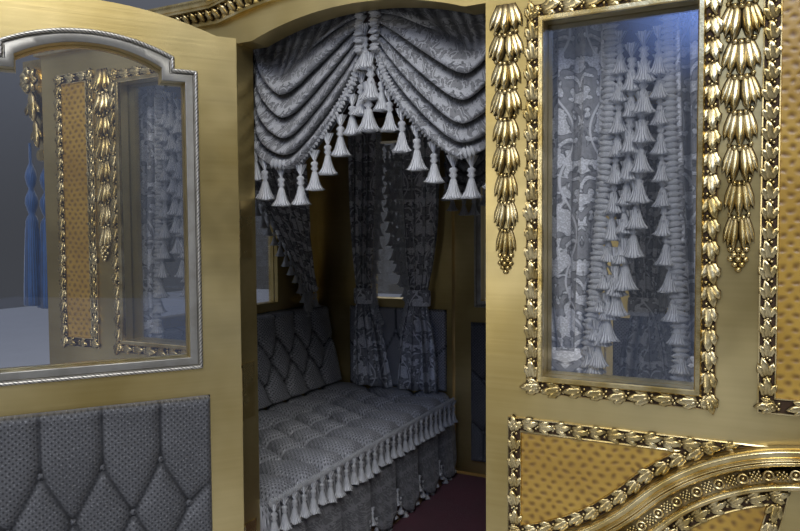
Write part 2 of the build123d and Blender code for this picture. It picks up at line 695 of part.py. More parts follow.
def door_light(grow):
    """Outline of the door's glass, grown all round."""
    half = LEAF_HALF - DOOR_STILE + grow
    shoulder_z = LIGHT_SHOULDER_Z + grow
    rise_z = shoulder_z + LIGHT_STEP_H
    inner = half - LIGHT_STEP
    return make_face(
        Polyline((-inner, rise_z), (-inner, shoulder_z), (-half, shoulder_z),
                 (-half, DOOR_GLASS_Z0 - grow), (half, DOOR_GLASS_Z0 - grow), (half, shoulder_z),
                 (inner, shoulder_z), (inner, rise_z))
        + ThreePointArc((inner, rise_z), (0, LIGHT_TOP + grow), (-inner, rise_z))
    )


def door_frame():
    top = SHOULDER_Z - DOOR_GAP
    outline = arched(LEAF_HALF, FLOOR + CARPET + DOOR_GAP, top, SHOULDER, top + ARCH_RISE)
    leaf = slab(outline - door_light(0), HALF_WIDTH, DOOR_T)
    return leaf - slab(door_light(PANE_LAP), HALF_WIDTH - DOOR_T / 2 + PANE / 2, PANE)


def door_pane():
    out = HALF_WIDTH - DOOR_T / 2 + PANE / 2 - PANE_PLAY
    return slab(door_light(PANE_LAP - PANE_PLAY), out, PANE - 2 * PANE_PLAY)


def door_sash():
    """Silver rope and flat band round the glass, on the inner face."""
    inside = HALF_WIDTH - DOOR_T
    band = slab(door_light(SASH_BAND) - door_light(0), inside, SASH_T)
    rope = door_light(SASH_BAND) - door_light(SASH_BAND - ROPE_W)
    return band + slab(rope, inside, SASH_T + ROPE_OUT)


def door_pad():
    half = LEAF_HALF - PAD_EDGE
    pad = slab(rect(-half, half, PAD_Z0, PAD_Z1), HALF_WIDTH - DOOR_T - SOFT_GAP, PAD_T)
    return fillet(pad.edges().group_by(Axis.Y)[-1], PAD_ROUND)


def door_panel_outline():
    half = LEAF_HALF - DOOR_PANEL_EDGE
    return (-half, half, DOOR_PANEL_Z0, UPPER_TOP)


def door_carving():
    """Carved frames round the glass and round the yellow panel, on the outer face."""
    edge = slab(door_light(FRAME_BAND) - door_light(0), HALF_WIDTH + FRAME_STEP, FRAME_STEP)
    ridge = door_light(FRAME_BAND - FRAME_LIP) - door_light(FRAME_LIP)
    bead = grown(door_panel_outline(), 0) - grown(door_panel_outline(), -BEAD)
    return [edge + slab(ridge, HALF_WIDTH + FRAME_OUT, FRAME_OUT), slab(bead, HALF_WIDTH + BEAD_OUT, BEAD_OUT)]


def door_panel():
    return slab(grown(door_panel_outline(), -BEAD), HALF_WIDTH + PANEL_OUT, PANEL_OUT)


def door_handle():
    """Turning handle on its round rose, on the outer face."""
    x = LEAF_HALF - HANDLE_EDGE
    face = Pos(x, HANDLE_Z)
    rose = slab(face * RegularPolygon(ROSE_R, ROSE_SIDES), HALF_WIDTH + ROSE_T, ROSE_T)
    stem = slab(face * RegularPolygon(STEM_R, STEM_SIDES), HALF_WIDTH + STEM_L, STEM_L)
    grip = slab(face * RectangleRounded(GRIP_W, GRIP_H, GRIP_ROUND), HALF_WIDTH + STEM_L + GRIP_T, GRIP_T)
    return rose + stem + grip


def hinge(moving):
    """Halves of the butt hinges: the pillar's leaf, knuckles and pin, or the door's leaf and knuckle."""
    px, py = -DOOR_HALF, -HALF_WIDTH - PIVOT_OUT
    third = HINGE_LENGTH / 3
    reach = third - 2 * HINGE_GAP
    x0 = px + DOOR_GAP - HINGE_LEAF_T if moving else px
    x1 = x0 + HINGE_LEAF_T
    pieces = []
    for z in HINGE_Z:
        half = HINGE_LENGTH / 2
        shape = box(x0, x1, -HALF_WIDTH, -HALF_WIDTH + HINGE_LEAF_W, z - half, z + half)
        for zc in (z,) if moving else (z - third, z + third):
            knuckle = Plane.XY.offset(zc - reach / 2) * Pos(px, py) * RegularPolygon(HINGE_KNUCKLE_R, KNUCKLE_SIDES)
            shape += extrude(knuckle, reach)
            shape += box(x0, x1, py, -HALF_WIDTH, zc - reach / 2, zc + reach / 2)
        if moving:
            shape -= Pos(px, py, z) * Cylinder(HINGE_PIN_R + HINGE_PLAY, third)
        else:
            shape += Pos(px, py, z) * Cylinder(HINGE_PIN_R, 2 * third - reach)
        pieces.append(shape)
    return pieces


def opened(shape):
    """Swing a piece of the near door out to where it stands."""
    pivot = Pos(-DOOR_HALF, -HALF_WIDTH - PIVOT_OUT, 0)
    return pivot * Rot(0, 0, -DOOR_OPEN) * pivot.inverse() * shape


def body_loop():
    """Iron strap on the curved end, with an eye for a suspension brace."""
    z_mid = (STRAP_Z0 + STRAP_Z1) / 2
    face = [(elbow_x(z, -SEAT_GAP), z) for z in (STRAP_Z0, z_mid, STRAP_Z1)]
    back = [(elbow_x(z, -STRAP_T), z) for z in (STRAP_Z1, z_mid, STRAP_Z0)]
    strap = make_face(ThreePointArc(*face) + Line(face[2], back[0]) + ThreePointArc(*back)
                      + Line(back[2], face[0]))
    eye_x = elbow_x(LOOP_EYE_Z, -STRAP_T - LOOP_BOSS_R)
    low_x, high_x = elbow_x(STRAP_Z0, -STRAP_T / 2), elbow_x(LOOP_EYE_Z + 2 * LOOP_BOSS_R, -STRAP_T / 2)
    neck = polygon((low_x, STRAP_Z0), (eye_x, LOOP_EYE_Z - LOOP_BOSS_R),
                   (eye_x, LOOP_EYE_Z + LOOP_BOSS_R), (high_x, LOOP_EYE_Z + 2 * LOOP_BOSS_R))
    neck += Pos(eye_x, LOOP_EYE_Z) * RegularPolygon(LOOP_BOSS_R, LOOP_BOSS_SIDES)
    neck -= Pos(eye_x, LOOP_EYE_Z) * Circle(LOOP_EYE_R)
    neck -= Pos(ELBOW_CX, ELBOW_Z) * Circle(ELBOW_R + SEAT_GAP)
    out = INNER - (STRAP_W - LOOP_T) / 2
    return slab(strap, INNER, STRAP_W) + slab(neck, out, LOOP_T)


side = quarter()
for node, shape in zip(("near_right", "near_left", "far_left", "far_right"), all_quarters(side)):
    save(f"quarter_{node}", shape)
for node, shape in zip(("near", "far"), both_sides(header())):
    save(f"header_{node}", shape)
save("sills", *both_sides(sill()))
for node, shape in zip(("right", "left"), both_sides(end_wall())):
    save(f"end_wall_{node}", shape)
save("floor_frame", floor_frame())
carpet_half = SEAT_FRONT - SOFT_GAP - SKIRT
save("carpet", box(-carpet_half, carpet_half, -INNER, INNER, FLOOR, FLOOR + CARPET))
save("roof", roof())
save("cornice", *cornice())
save("quarter_glass", *all_quarters(quarter_pane()))
save("end_glass", *both_sides(end_pane(PANE_PLAY)))

save("window_frames", *all_quarters(window_frame()), *both_sides(end_window_frame()))
outlines = (narrow_panel, upper_panel, lower_panel)
panels = [slab(outline(BEAD), HALF_WIDTH + PANEL_OUT, PANEL_OUT) for outline in outlines]
beads = [slab(outline(0) - outline(BEAD), HALF_WIDTH + BEAD_OUT, BEAD_OUT) for outline in outlines]
save("yellow_panels", *[piece for shape in panels for piece in all_quarters(shape)])
save("panel_frames", *[piece for shape in beads for piece in all_quarters(shape)])
save("s_mouldings", *all_quarters(s_moulding()))
save("garlands", *[piece for row in GARLANDS for piece in all_quarters(garland(*row))])
save("consoles", *all_quarters(console()))
save("corner_tassels", *all_quarters(tassel()))
save("body_loops", *all_quarters(body_loop()))

for make, name in ((seat_box, "seat_box"), (seat_cushion, "seat_cushion"), (squab, "seat_back")):
    for node, shape in zip(("right", "left"), both_sides(make())):
        save(f"{name}_{node}", shape)
save("seat_skirts", *both_sides(seat_skirt()))
save("side_pads", *all_quarters(side_pad()))
save("curtains", *[piece for shape in curtains() for piece in all_quarters(shape)])
for node, shape in zip(("near", "far"), both_sides(valance())):
    save(f"valance_{node}", shape)
save("hinge_pins", *[piece for shape in hinge(False) for piece in both_sides(shape)])

DOOR_PIECES = {
    "frame": [door_frame()],
    "glass": [door_pane()],
    "sash": [door_sash()],
    "pad": [door_pad()],
    "carving": door_carving(),
    "panel": [door_panel()],
    "handle": [door_handle()],
    "hinges": hinge(True),
}
for name, shapes in DOOR_PIECES.items():
    save(f"door_near_{name}", *[opened(shape) for shape in shapes])
    save(f"door_far_{name}", *[turned(shape) for shape in shapes])
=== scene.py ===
# %% [markdown]
# # The finish of a gilded state coach body
# The frame holds every rigid piece at its real size. This lesson dresses it: gilding, carving,
# lacquer, glass and the upholstery inside. Nothing here moves or resizes a rigid piece.

# %% Load the frame
import math

import bmesh
import bpy
import numpy as np
from mathutils import Matrix, Vector
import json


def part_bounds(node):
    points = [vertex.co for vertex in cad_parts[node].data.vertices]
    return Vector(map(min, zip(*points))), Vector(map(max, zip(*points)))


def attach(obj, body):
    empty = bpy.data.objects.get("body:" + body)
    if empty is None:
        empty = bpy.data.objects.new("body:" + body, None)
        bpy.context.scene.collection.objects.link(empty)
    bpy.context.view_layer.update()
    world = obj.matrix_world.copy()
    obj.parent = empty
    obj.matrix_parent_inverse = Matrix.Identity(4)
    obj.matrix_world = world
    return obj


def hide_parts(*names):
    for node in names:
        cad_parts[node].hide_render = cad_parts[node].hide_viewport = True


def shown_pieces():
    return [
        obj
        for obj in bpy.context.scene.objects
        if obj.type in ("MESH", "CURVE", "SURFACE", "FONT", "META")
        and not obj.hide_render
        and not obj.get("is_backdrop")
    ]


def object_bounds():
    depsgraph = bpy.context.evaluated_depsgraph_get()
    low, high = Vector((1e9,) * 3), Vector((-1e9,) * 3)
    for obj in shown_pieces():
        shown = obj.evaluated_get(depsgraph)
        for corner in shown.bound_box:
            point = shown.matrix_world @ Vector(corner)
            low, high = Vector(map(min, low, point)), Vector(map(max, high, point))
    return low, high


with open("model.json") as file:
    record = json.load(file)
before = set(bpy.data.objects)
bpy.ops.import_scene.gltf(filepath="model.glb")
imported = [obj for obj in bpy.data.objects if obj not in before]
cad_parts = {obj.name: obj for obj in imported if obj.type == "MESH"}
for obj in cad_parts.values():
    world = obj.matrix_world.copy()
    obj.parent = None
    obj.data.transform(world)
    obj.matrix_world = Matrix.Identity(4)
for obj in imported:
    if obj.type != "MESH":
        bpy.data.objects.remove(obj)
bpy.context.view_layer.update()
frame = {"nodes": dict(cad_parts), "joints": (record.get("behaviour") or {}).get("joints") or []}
scene = bpy.context.scene

# %% [markdown]
# ## Places that the dressing needs
# All of them come from the frame, so a change of size there is followed here. One quarter of the
# body is dressed, and the other three are its mirror image and both of them turned half round.

# %% Sizes read from the frame
quarter_low, quarter_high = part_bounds("quarter_near_right")
WALL_Y = -quarter_low.y
PILLAR_X = quarter_low.x
END_X = quarter_high.x
EAVES_Z = quarter_high.z


def part_box(node, keep):
    """Lowest and highest corner of the part of a node whose points pass a test."""
    points = np.array([v.co for v in frame["nodes"][node].data.vertices])
    points = points[[bool(keep(*p)) for p in points]]
    return Vector(points.min(0)), Vector(points.max(0))


def near_right(x, y, z):
    return x > 0 and y < 0


PANE_LAP = 0.0055       # how far a pane runs into its groove
pane_low, pane_high = part_box("quarter_glass", near_right)
GLASS = (pane_low.x + PANE_LAP, pane_high.x - PANE_LAP, pane_low.z + PANE_LAP, pane_high.z - PANE_LAP)

TURN = Matrix.Rotation(math.pi, 4, "Z")
FLIP = Matrix.Scale(-1, 4, (1, 0, 0))
QUARTERS = [Matrix(), FLIP, TURN, TURN @ FLIP]
SIDES = [Matrix(), TURN]
UPRIGHT = Matrix.Rotation(math.pi / 2, 4, "X")      # stands up what was drawn lying flat
ON_WALL = Matrix.Translation((0, -WALL_Y, 0)) @ UPRIGHT

near_hinge = next(j for j in frame["joints"] if j["name"] == "near_door_hinge")
OPEN_ANGLE = near_hinge["range_deg"][0]
hinge_place = Matrix.Translation(near_hinge["pos_m"])
opened = hinge_place @ Matrix.Rotation(math.radians(OPEN_ANGLE), 4, "Z") @ hinge_place.inverted()
DOORS = {"near": opened, "far": TURN}
print("glass of the near right quarter", [round(v, 3) for v in GLASS])

# %% [markdown]
# ## Camera
# The photograph was taken by somebody standing close to the right quarter and looking in through
# the open door. Its angles were worked out from upright and level edges of the side wall.

# %% Camera at the photograph's angle
FRAME_WIDTH_PX = 800
FOCAL_PX = 695
CAMERA_PLACE = Vector((0.766, -1.990, 1.050))
YAW, PITCH, ROLL = (math.radians(a) for a in (26.54, -2.53, -0.36))


def new_object(name, data):
    """An object with this data, linked to the scene."""
    made_object = bpy.data.objects.new(name, data)
    scene.collection.objects.link(made_object)
    return made_object


camera_data = bpy.data.cameras.new("camera")
camera_data.sensor_width = 36
camera_data.lens = camera_data.sensor_width * FOCAL_PX / FRAME_WIDTH_PX
camera_data.clip_start = 0.05
camera = new_object("camera", camera_data)
forward = Vector((-math.sin(YAW) * math.cos(PITCH), math.cos(YAW) * math.cos(PITCH), math.sin(PITCH)))
level = Vector((math.cos(YAW), math.sin(YAW), 0))
above = level.cross(forward)
right = level * math.cos(ROLL) + above * math.sin(ROLL)
up = above * math.cos(ROLL) - level * math.sin(ROLL)
camera.matrix_world = Matrix.Translation(CAMERA_PLACE) @ Matrix((right, up, -forward)).transposed().to_4x4()
scene.camera = camera

# %% [markdown]
# ## A short way to write node trees
# Every finish below is a tree of nodes. This small class adds a node, feeds its sockets and returns
# an output, so that a finish reads like a list of steps.


# %% Node helper
class Tree:
    """Short ways to add nodes to one node tree."""

    def __init__(self, tree):
        self.tree = tree

    def feed(self, socket, value):
        if isinstance(value, bpy.types.NodeSocket):
            self.tree.links.new(value, socket)
        else:
            socket.default_value = value

    def fill(self, sockets, values):
        """Feeds several sockets, each by its name or number."""
        for key, value in values.items():
            self.feed(sockets[key], value)

    def add(self, kind, inputs=None, **settings):
        node = self.tree.nodes.new(kind)
        for key, value in settings.items():
            setattr(node, key, value)
        self.fill(node.inputs, inputs or {})
        return node

    def math(self, operation, *values):
        return self.add("ShaderNodeMath", dict(enumerate(values)), operation=operation).outputs[0]

    def noise(self, vector, scale, detail=3.0, distortion=0.0):
        given = {"Vector": vector, "Scale": scale, "Detail": detail, "Distortion": distortion}
        return self.add("ShaderNodeTexNoise", given).outputs["Fac"]

    def step(self, value, low, high):
        """0 below low, 1 above high, and smooth between."""
        given = {"Value": value, "From Min": low, "From Max": high}
        return self.add("ShaderNodeMapRange", given, interpolation_type="SMOOTHSTEP").outputs["Result"]

    def blend(self, factor, first, second):
        """Mixes two colours."""
        return self.add("ShaderNodeMix", {0: factor, 6: first, 7: second}, data_type="RGBA").outputs[2]

    def lerp(self, factor, low, high):
        """Mixes two numbers."""
        given = {"Value": factor, "To Min": low, "To Max": high}
        return self.add("ShaderNodeMapRange", given).outputs["Result"]

    def split(self, vector):
        """The X, Y and Z of a vector."""
        return self.add("ShaderNodeSeparateXYZ", {"Vector": vector}).outputs

    def scaled(self, vector, scale, rotation=(0, 0, 0)):
        given = {"Vector": vector, "Scale": scale, "Rotation": rotation}
        return self.add("ShaderNodeMapping", given).outputs["Vector"]

    def bump(self, height, distance, strength):
        given = {"Height": height, "Distance": distance, "Strength": strength}
        return self.add("ShaderNodeBump", given).outputs["Normal"]


def shader_group(name, numbers, outputs):
    """A new shader node group that takes a vector and named numbers: its tree, inputs and outputs."""
    group = bpy.data.node_groups.new(name, "ShaderNodeTree")
    group.interface.new_socket("Vector", in_out="INPUT", socket_type="NodeSocketVector")
    for label, default in numbers.items():
        socket = group.interface.new_socket(label, in_out="INPUT", socket_type="NodeSocketFloat")
        socket.default_value = default
    for label in outputs:
        group.interface.new_socket(label, in_out="OUTPUT", socket_type="NodeSocketFloat")
    tree = Tree(group)
    return tree, tree.add("NodeGroupInput").outputs, tree.add("NodeGroupOutput").inputs


def use_group(tree, name, inputs):
    return tree.add("ShaderNodeGroup", inputs, node_tree=bpy.data.node_groups[name]).outputs


# %% [markdown]
# ## Floor and light
# Burnished gold shows its carving only if there is something bright and something darker for it to
# reflect. Two soft lamps stand high in front. A bluish one, as of a window, is mirrored at the top of
# the quarter's pane, and a narrow one in the pillars. The world is a grey that grows paler upwards
# and darker behind the coach.

# %% World
HORIZON, ZENITH = (0.10, 0.102, 0.11, 1), (0.42, 0.46, 0.57, 1)
SKY_RISE = (-0.02, 0.75)      # how far upwards a direction points where each of the two tones is full
DARKER_BEHIND = {"From Min": -0.2, "From Max": 0.5, "To Min": 1.0, "To Max": 0.45}

world = bpy.data.worlds.new("world")
scene.world = world
world.use_nodes = True
sky = Tree(world.node_tree)
direction = sky.split(sky.add("ShaderNodeTexCoord").outputs["Generated"])
sky.fill(world.node_tree.nodes["Background"].inputs, {
    "Color": sky.blend(sky.step(direction["Z"], *SKY_RISE), HORIZON, ZENITH),
    "Strength": sky.add("ShaderNodeMapRange", {"Value": direction["Y"], **DARKER_BEHIND}).outputs["Result"],
})
scene.view_settings.view_transform = "Standard"

# %% Lamps and floor
FLOOR_HALF = 9.0
FLOOR_DROP = 0.002


def area_lamp(name, place, aim, size, power, tall=None, colour=(1, 1, 1), spread=180):
    """A soft lamp at one point that faces another, square unless it has a height of its own."""
    data = bpy.data.lights.new(name, "AREA")
    data.size = size
    if tall:
        data.shape = "RECTANGLE"
        data.size_y = tall
    data.energy = power
    data.color = colour
    data.spread = math.radians(spread)
    lamp = new_object(name, data)
    lamp.location = place
    lamp.rotation_euler = (Vector(aim) - Vector(place)).to_track_quat("-Z", "Y").to_euler()


area_lamp("key", (2.3, -3.5, 4.0), (0.2, -0.6, 0.9), size=2.2, power=33, spread=100)
area_lamp("front", (0.3, -4.4, 4.3), (0.3, -0.7, 1.2), size=1.8, power=16, tall=1.4, spread=100)
area_lamp("window", (1.0, -4.4, 3.1), (1.0, -0.7, 3.1), size=2.4, power=64, tall=2.2,
          colour=(0.29, 0.45, 1.0))
area_lamp("side window", (-1.06, -4.4, 1.6), (-1.06, -0.7, 1.6), size=0.8, power=17, tall=2.6)
area_lamp("back", (-1.5, 4.0, 3.4), (0, 0.5, 0.9), size=2.4, power=44)

floor_mesh = bpy.data.meshes.new("floor")
floor_mesh.from_pydata([(x * FLOOR_HALF, y * FLOOR_HALF, -FLOOR_DROP)
                        for x, y in ((-1, -1), (1, -1), (1, 1), (-1, 1))], [], [(0, 1, 2, 3)])
floor = new_object("floor", floor_mesh)
floor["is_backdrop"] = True

# %% Soft edges of the mirrored window
WINDOW_FADE = 0.35      # share of the lamp over which it fades, so that its image has no hard outline
lamp_data = bpy.data.lights["window"]
lamp_data.use_nodes = True
tree = Tree(lamp_data.node_tree)
place = tree.split(tree.add("ShaderNodeNewGeometry").outputs["Parametric"])
fades = [tree.step(tree.math("PINGPONG", place[axis], 0.5), 0.0, WINDOW_FADE) for axis in ("X", "Y")]
tree.feed(lamp_data.node_tree.nodes["Emission"].inputs["Strength"], tree.math("MULTIPLY", *fades))

# %% [markdown]
# ## Groups that several finishes share
# Gilding, lacquer and cloth are never one even tone. The first group gives a cloudy mask. The next
# two give the threads of a cloth and the strands of a tassel.

# %% Cloudy tone
tree, given, made = shader_group("cloudy", {"Scale": 4.0, "Contrast": 0.3}, ["Mask"])
broad = tree.noise(given["Vector"], given["Scale"], 4.0)
low_edge = tree.math("SUBTRACT", 0.5, given["Contrast"])
high_edge = tree.math("ADD", 0.5, given["Contrast"])
tree.feed(made["Mask"], tree.step(broad, low_edge, high_edge))


def cloudy(tree, place, scale, contrast):
    """Mask of the cloudy group."""
    return use_group(tree, "cloudy", {"Vector": place, "Scale": scale, "Contrast": contrast})["Mask"]


# %% Threads of a cloth
tree, given, made = shader_group("weave", {"Threads": 900.0}, ["Height"])
split = tree.split(given["Vector"])
turns = tree.math("MULTIPLY", given["Threads"], math.pi)
warp = tree.math("ABSOLUTE", tree.math("SINE", tree.math("MULTIPLY", split["X"], turns)))
weft = tree.math("ABSOLUTE", tree.math("SINE", tree.math("MULTIPLY", split["Y"], turns)))
tree.feed(made["Height"], tree.math("MAXIMUM", warp, weft))

# %% Strands of a tassel
tree, given, made = shader_group("strands", {"Count": 24.0}, ["Height"])
turns = tree.math("MULTIPLY", tree.split(given["Vector"])["X"], given["Count"])
wave = tree.math("SINE", tree.math("MULTIPLY", turns, 2 * math.pi))
tree.feed(made["Height"], tree.math("MULTIPLY_ADD", wave, 0.5, 0.5))

# %% [markdown]
# ## Leaves woven in silk
# Damask shows its pattern by the sheen of the threads, not by colour. Here that sheen is painted into
# the colour: the leaves take a lighter tone than the ground. The leaves come from a noise that is
# mirrored about the middle of each repeat, as a loom does it, beside an S-shaped stem.

# %% Damask leaves
tree, given, made = shader_group("damask", {"Width": 0.16, "Length": 0.26}, ["Mask", "Outline"])
split = tree.split(given["Vector"])
across = tree.math("PINGPONG", tree.math("DIVIDE", split["X"], given["Width"]), 0.5)
turn = tree.math("MULTIPLY", tree.math("DIVIDE", split["Y"], given["Length"]), 2 * math.pi)
sway = tree.math("MULTIPLY_ADD", tree.math("SINE", turn), 0.11, 0.25)
off_stem = tree.math("ABSOLUTE", tree.math("SUBTRACT", across, sway))
stem = tree.math("SUBTRACT", 1.0, tree.step(off_stem, 0.010, 0.018))
tile = tree.add("ShaderNodeCombineXYZ", {
    "X": tree.math("MULTIPLY", across, 1.5), "Y": tree.math("MULTIPLY", tree.math("COSINE", turn), 0.30),
    "Z": tree.math("MULTIPLY", tree.math("SINE", turn), 0.30)}).outputs["Vector"]
blobs = tree.noise(tile, 4.2, 1.5, 0.9)
leaf_mask = tree.step(blobs, 0.50, 0.53)
outline = tree.math("SUBTRACT", tree.step(blobs, 0.455, 0.475), tree.step(blobs, 0.485, 0.50))
seeds = tree.step(tree.noise(tree.scaled(tile, (34, 34, 34)), 1.0, 0.0), 0.50, 0.58)
filled = tree.math("MULTIPLY", leaf_mask, tree.math("MULTIPLY_ADD", seeds, 0.45, 0.55))
tree.feed(made["Mask"], tree.math("MAXIMUM", tree.math("MULTIPLY", stem, 0.8), filled))
tree.feed(made["Outline"], outline)

# %% [markdown]
# ## Materials
# Each finish is one function. Gold over smooth boards and burnished gold on carving are different
# trades: the boards are satin with faint brush lines, while carving is bright on its ridges, and its
# recesses are painted dark brown as shade. The carving's meshes carry how high each point stands as an
# attribute called relief, and that attribute sets the painted shade.


# %% Material helper
def new_material(name):
    """A material, its tree and the sockets of its Principled shader."""
    material = bpy.data.materials.new(name)
    material.use_nodes = True
    return material, Tree(material.node_tree), material.node_tree.nodes["Principled BSDF"].inputs


def object_place(tree):
    return tree.add("ShaderNodeTexCoord").outputs["Object"]


def uv_place(tree):
    return tree.add("ShaderNodeUVMap").outputs["UV"]


# Reads the relief attribute, from which the finishes paint shade into recesses, grooves and creases.
def painted_shade_from_relief(tree):
    return tree.add("ShaderNodeAttribute", attribute_name="relief").outputs["Fac"]


# %% Satin gold on boards
def satin_gold(name, turn=0.0):
    """Gilded boards. turn is how far the board is turned about the upright, in degrees."""
    material, tree, surface = new_material(name)
    place = tree.scaled(object_place(tree), (1, 1, 1), (0, 0, math.radians(-turn)))
    cloud = cloudy(tree, place, 2.6, 0.24)
    brushed = tree.noise(tree.scaled(place, (3, 60, 140)), 1.0, 2.0)
    rubbed = cloudy(tree, place, 9.0, 0.20)
    tone = tree.math("MULTIPLY_ADD", brushed, 0.20, tree.math("MULTIPLY", cloud, 0.80))
    tree.fill(surface, {
        "Base Color": tree.blend(tone, (0.39, 0.28, 0.085, 1), (0.78, 0.63, 0.30, 1)),
        "Metallic": 0.92,
        "Roughness": tree.lerp(rubbed, 0.29, 0.39),
        "Normal": tree.bump(brushed, 0.0005, 0.30),
    })
    return material


# %% Burnished gold on carving
def carved_gold(name, has_relief=True):
    """Burnished gold whose recesses, where the relief is low, are painted dark brown as shade. Without
    relief it is for plain mouldings, which have no recesses.
    """
    material, tree, surface = new_material(name)
    place = object_place(tree)
    grain = tree.noise(place, 160.0, 2.0)
    worn = cloudy(tree, place, 22.0, 0.20)
    bright = tree.blend(worn, (0.50, 0.355, 0.115, 1), (0.88, 0.72, 0.38, 1))
    if has_relief:
        height = tree.math("MULTIPLY_ADD", grain, 0.18, tree.math("SUBTRACT", painted_shade_from_relief(tree), 0.09))
        lit = tree.step(height, 0.10, 0.72)
    else:
        lit = tree.step(grain, 0.20, 0.34)
    tree.fill(surface, {
        # Painted shade: where the relief is low the colour turns dark brown, standing in for shade in the
        # recesses.
        "Base Color": tree.blend(lit, (0.050, 0.024, 0.007, 1), bright),
        "Metallic": tree.lerp(lit, 0.35, 0.98),
        "Roughness": tree.lerp(lit, 0.62, 0.24),
        "Normal": tree.bump(grain, 0.0005, 0.5),
    })
    return material


# %% Amber lacquer with dimples
DIMPLE_ACROSS, DIMPLE_UP = 0.022, 0.026


def cell(tree, place, step, shift):
    """How far a place is from the middle of its cell in a row of cells, 0 to 0.5."""
    return tree.math("PINGPONG", tree.math("ADD", tree.math("DIVIDE", place, step), shift), 0.5)


def amber_lacquer(name, turn=0.0):
    """Amber lacquer over a lattice of small brown dimples, every second row moved by half."""
    material, tree, surface = new_material(name)
    place = tree.scaled(object_place(tree), (1, 1, 1), (0, 0, math.radians(-turn)))
    wobble = tree.noise(place, 38.0, 1.0)
    split = tree.split(place)
    shifted = tree.math("MULTIPLY_ADD", wobble, 0.014, split["X"])
    raised = tree.math("MULTIPLY_ADD", tree.noise(place, 31.0, 1.0), 0.014, split["Z"])
    nearest = None
    for half in (0.0, 0.5):
        cell_x, cell_z = cell(tree, shifted, DIMPLE_ACROSS, half), cell(tree, raised, DIMPLE_UP, half)
        squared = tree.math("MULTIPLY", tree.math("POWER", cell_z, 2.0), 2.2)
        away = tree.math("SQRT", tree.math("ADD", tree.math("POWER", cell_x, 2.0), squared))
        nearest = away if nearest is None else tree.math("MINIMUM", nearest, away)
    dot = tree.step(nearest, 0.0, 0.42)
    cloud = cloudy(tree, place, 7.0, 0.30)
    amber = tree.blend(cloud, (0.30, 0.165, 0.016, 1), (0.47, 0.29, 0.045, 1))
    tree.fill(surface, {
        "Base Color": tree.blend(dot, (0.17, 0.085, 0.010, 1), amber),
        "Roughness": 0.38,
        "Coat Weight": 0.25,
        "Coat Roughness": 0.18,
        "Normal": tree.bump(dot, 0.0016, 0.8),
    })
    return material


# %% Glass
def clear_glass(name):
    """Plate glass: seen through, but it mirrors more and more towards a grazing view.

    The Fresnel node turns its index over on a back face, so the inner face is given it turned over.
    """
    material, tree, surface = new_material(name)
    tree.fill(surface, {
        "Base Color": (0.74, 0.83, 1.0, 1),
        "Metallic": 1.0,
        "Roughness": 0.02,
    })
    inner_face = tree.add("ShaderNodeNewGeometry").outputs["Backfacing"]
    fresnel = tree.add("ShaderNodeFresnel", {"IOR": tree.lerp(inner_face, 1.52, 1 / 1.52)}).outputs[0]
    tree.feed(surface["Alpha"], tree.math("MULTIPLY_ADD", fresnel, 1.4, 0.07))
    return material


# %% Silver trim and brass
def trim_metal(name, groove, bright, roughness):
    """Plated trim whose grooves, where the mesh carries little relief, are painted dark as shade."""
    material, tree, surface = new_material(name)
    lit = tree.step(painted_shade_from_relief(tree), 0.15, 0.75)
    spots = cloudy(tree, object_place(tree), 60.0, 0.3)
    tree.fill(surface, {
        # Painted shade: the groove colour stands in for shade between the rope's lobes.
        "Base Color": tree.blend(lit, groove, bright),
        "Metallic": 0.9,
        "Roughness": tree.lerp(spots, roughness, roughness + 0.12),
    })
    return material


def plain_metal(name, dark, bright, roughness):
    """Plain metal with a little cloudy tarnish."""
    material, tree, surface = new_material(name)
    place = object_place(tree)
    cloud = cloudy(tree, place, 18.0, 0.3)
    tree.fill(surface, {
        "Base Color": tree.blend(cloud, dark, bright),
        "Metallic": 0.95,
        "Roughness": tree.lerp(cloud, roughness + 0.12, roughness),
        "Normal": tree.bump(tree.noise(place, 240.0), 0.0003, 0.3),
    })
    return material


# %% Cloths
BROCADE_STEP = 0.0125


def grey(tone, blue=1.0):
    """A grey, a touch bluer where blue is over 1."""
    return (tone, tone, tone * blue, 1)


def paint_crease_shade(tree, colour):
    """Paints shade into a cloth's colour: it turns near black where the mesh carries little relief, in its
    creases and folds.
    """
    return tree.blend(tree.step(painted_shade_from_relief(tree), 0.0, 0.9), (0.012, 0.012, 0.013, 1), colour)


def brocade(name, tone):
    """Silver-grey brocade: small dark diamonds in rows, with bright threads here and there."""
    material, tree, surface = new_material(name)
    place = uv_place(tree)
    split = tree.split(place)
    marks = []
    for half in (0.0, 0.5):
        cells = (cell(tree, split[axis], BROCADE_STEP, half) for axis in ("X", "Y"))
        marks.append(tree.math("ADD", *cells))
    diamond = tree.step(tree.math("MINIMUM", *marks), 0.16, 0.30)
    sparkle = tree.step(tree.noise(place, 260.0, 1.0), 0.58, 0.70)
    cloud = cloudy(tree, place, 9.0, 0.35)
    thread = use_group(tree, "weave", {"Vector": place, "Threads": 700.0})["Height"]
    plain = tree.blend(cloud, grey(tone * 0.8, 1.025), grey(tone * 1.3, 1.023))
    woven = tree.blend(diamond, grey(tone * 0.3, 1.033), plain)
    bright = tree.blend(tree.math("MULTIPLY", sparkle, diamond), woven, grey(tone * 2.4))
    tree.fill(surface, {
        "Base Color": paint_crease_shade(tree, bright),
        "Roughness": tree.lerp(sparkle, 0.62, 0.35),
        "Sheen Weight": 0.12,
    })
    raised = tree.math("MULTIPLY_ADD", thread, 0.4, diamond)
    tree.feed(surface["Normal"], tree.bump(raised, 0.0007, 0.7))
    return material


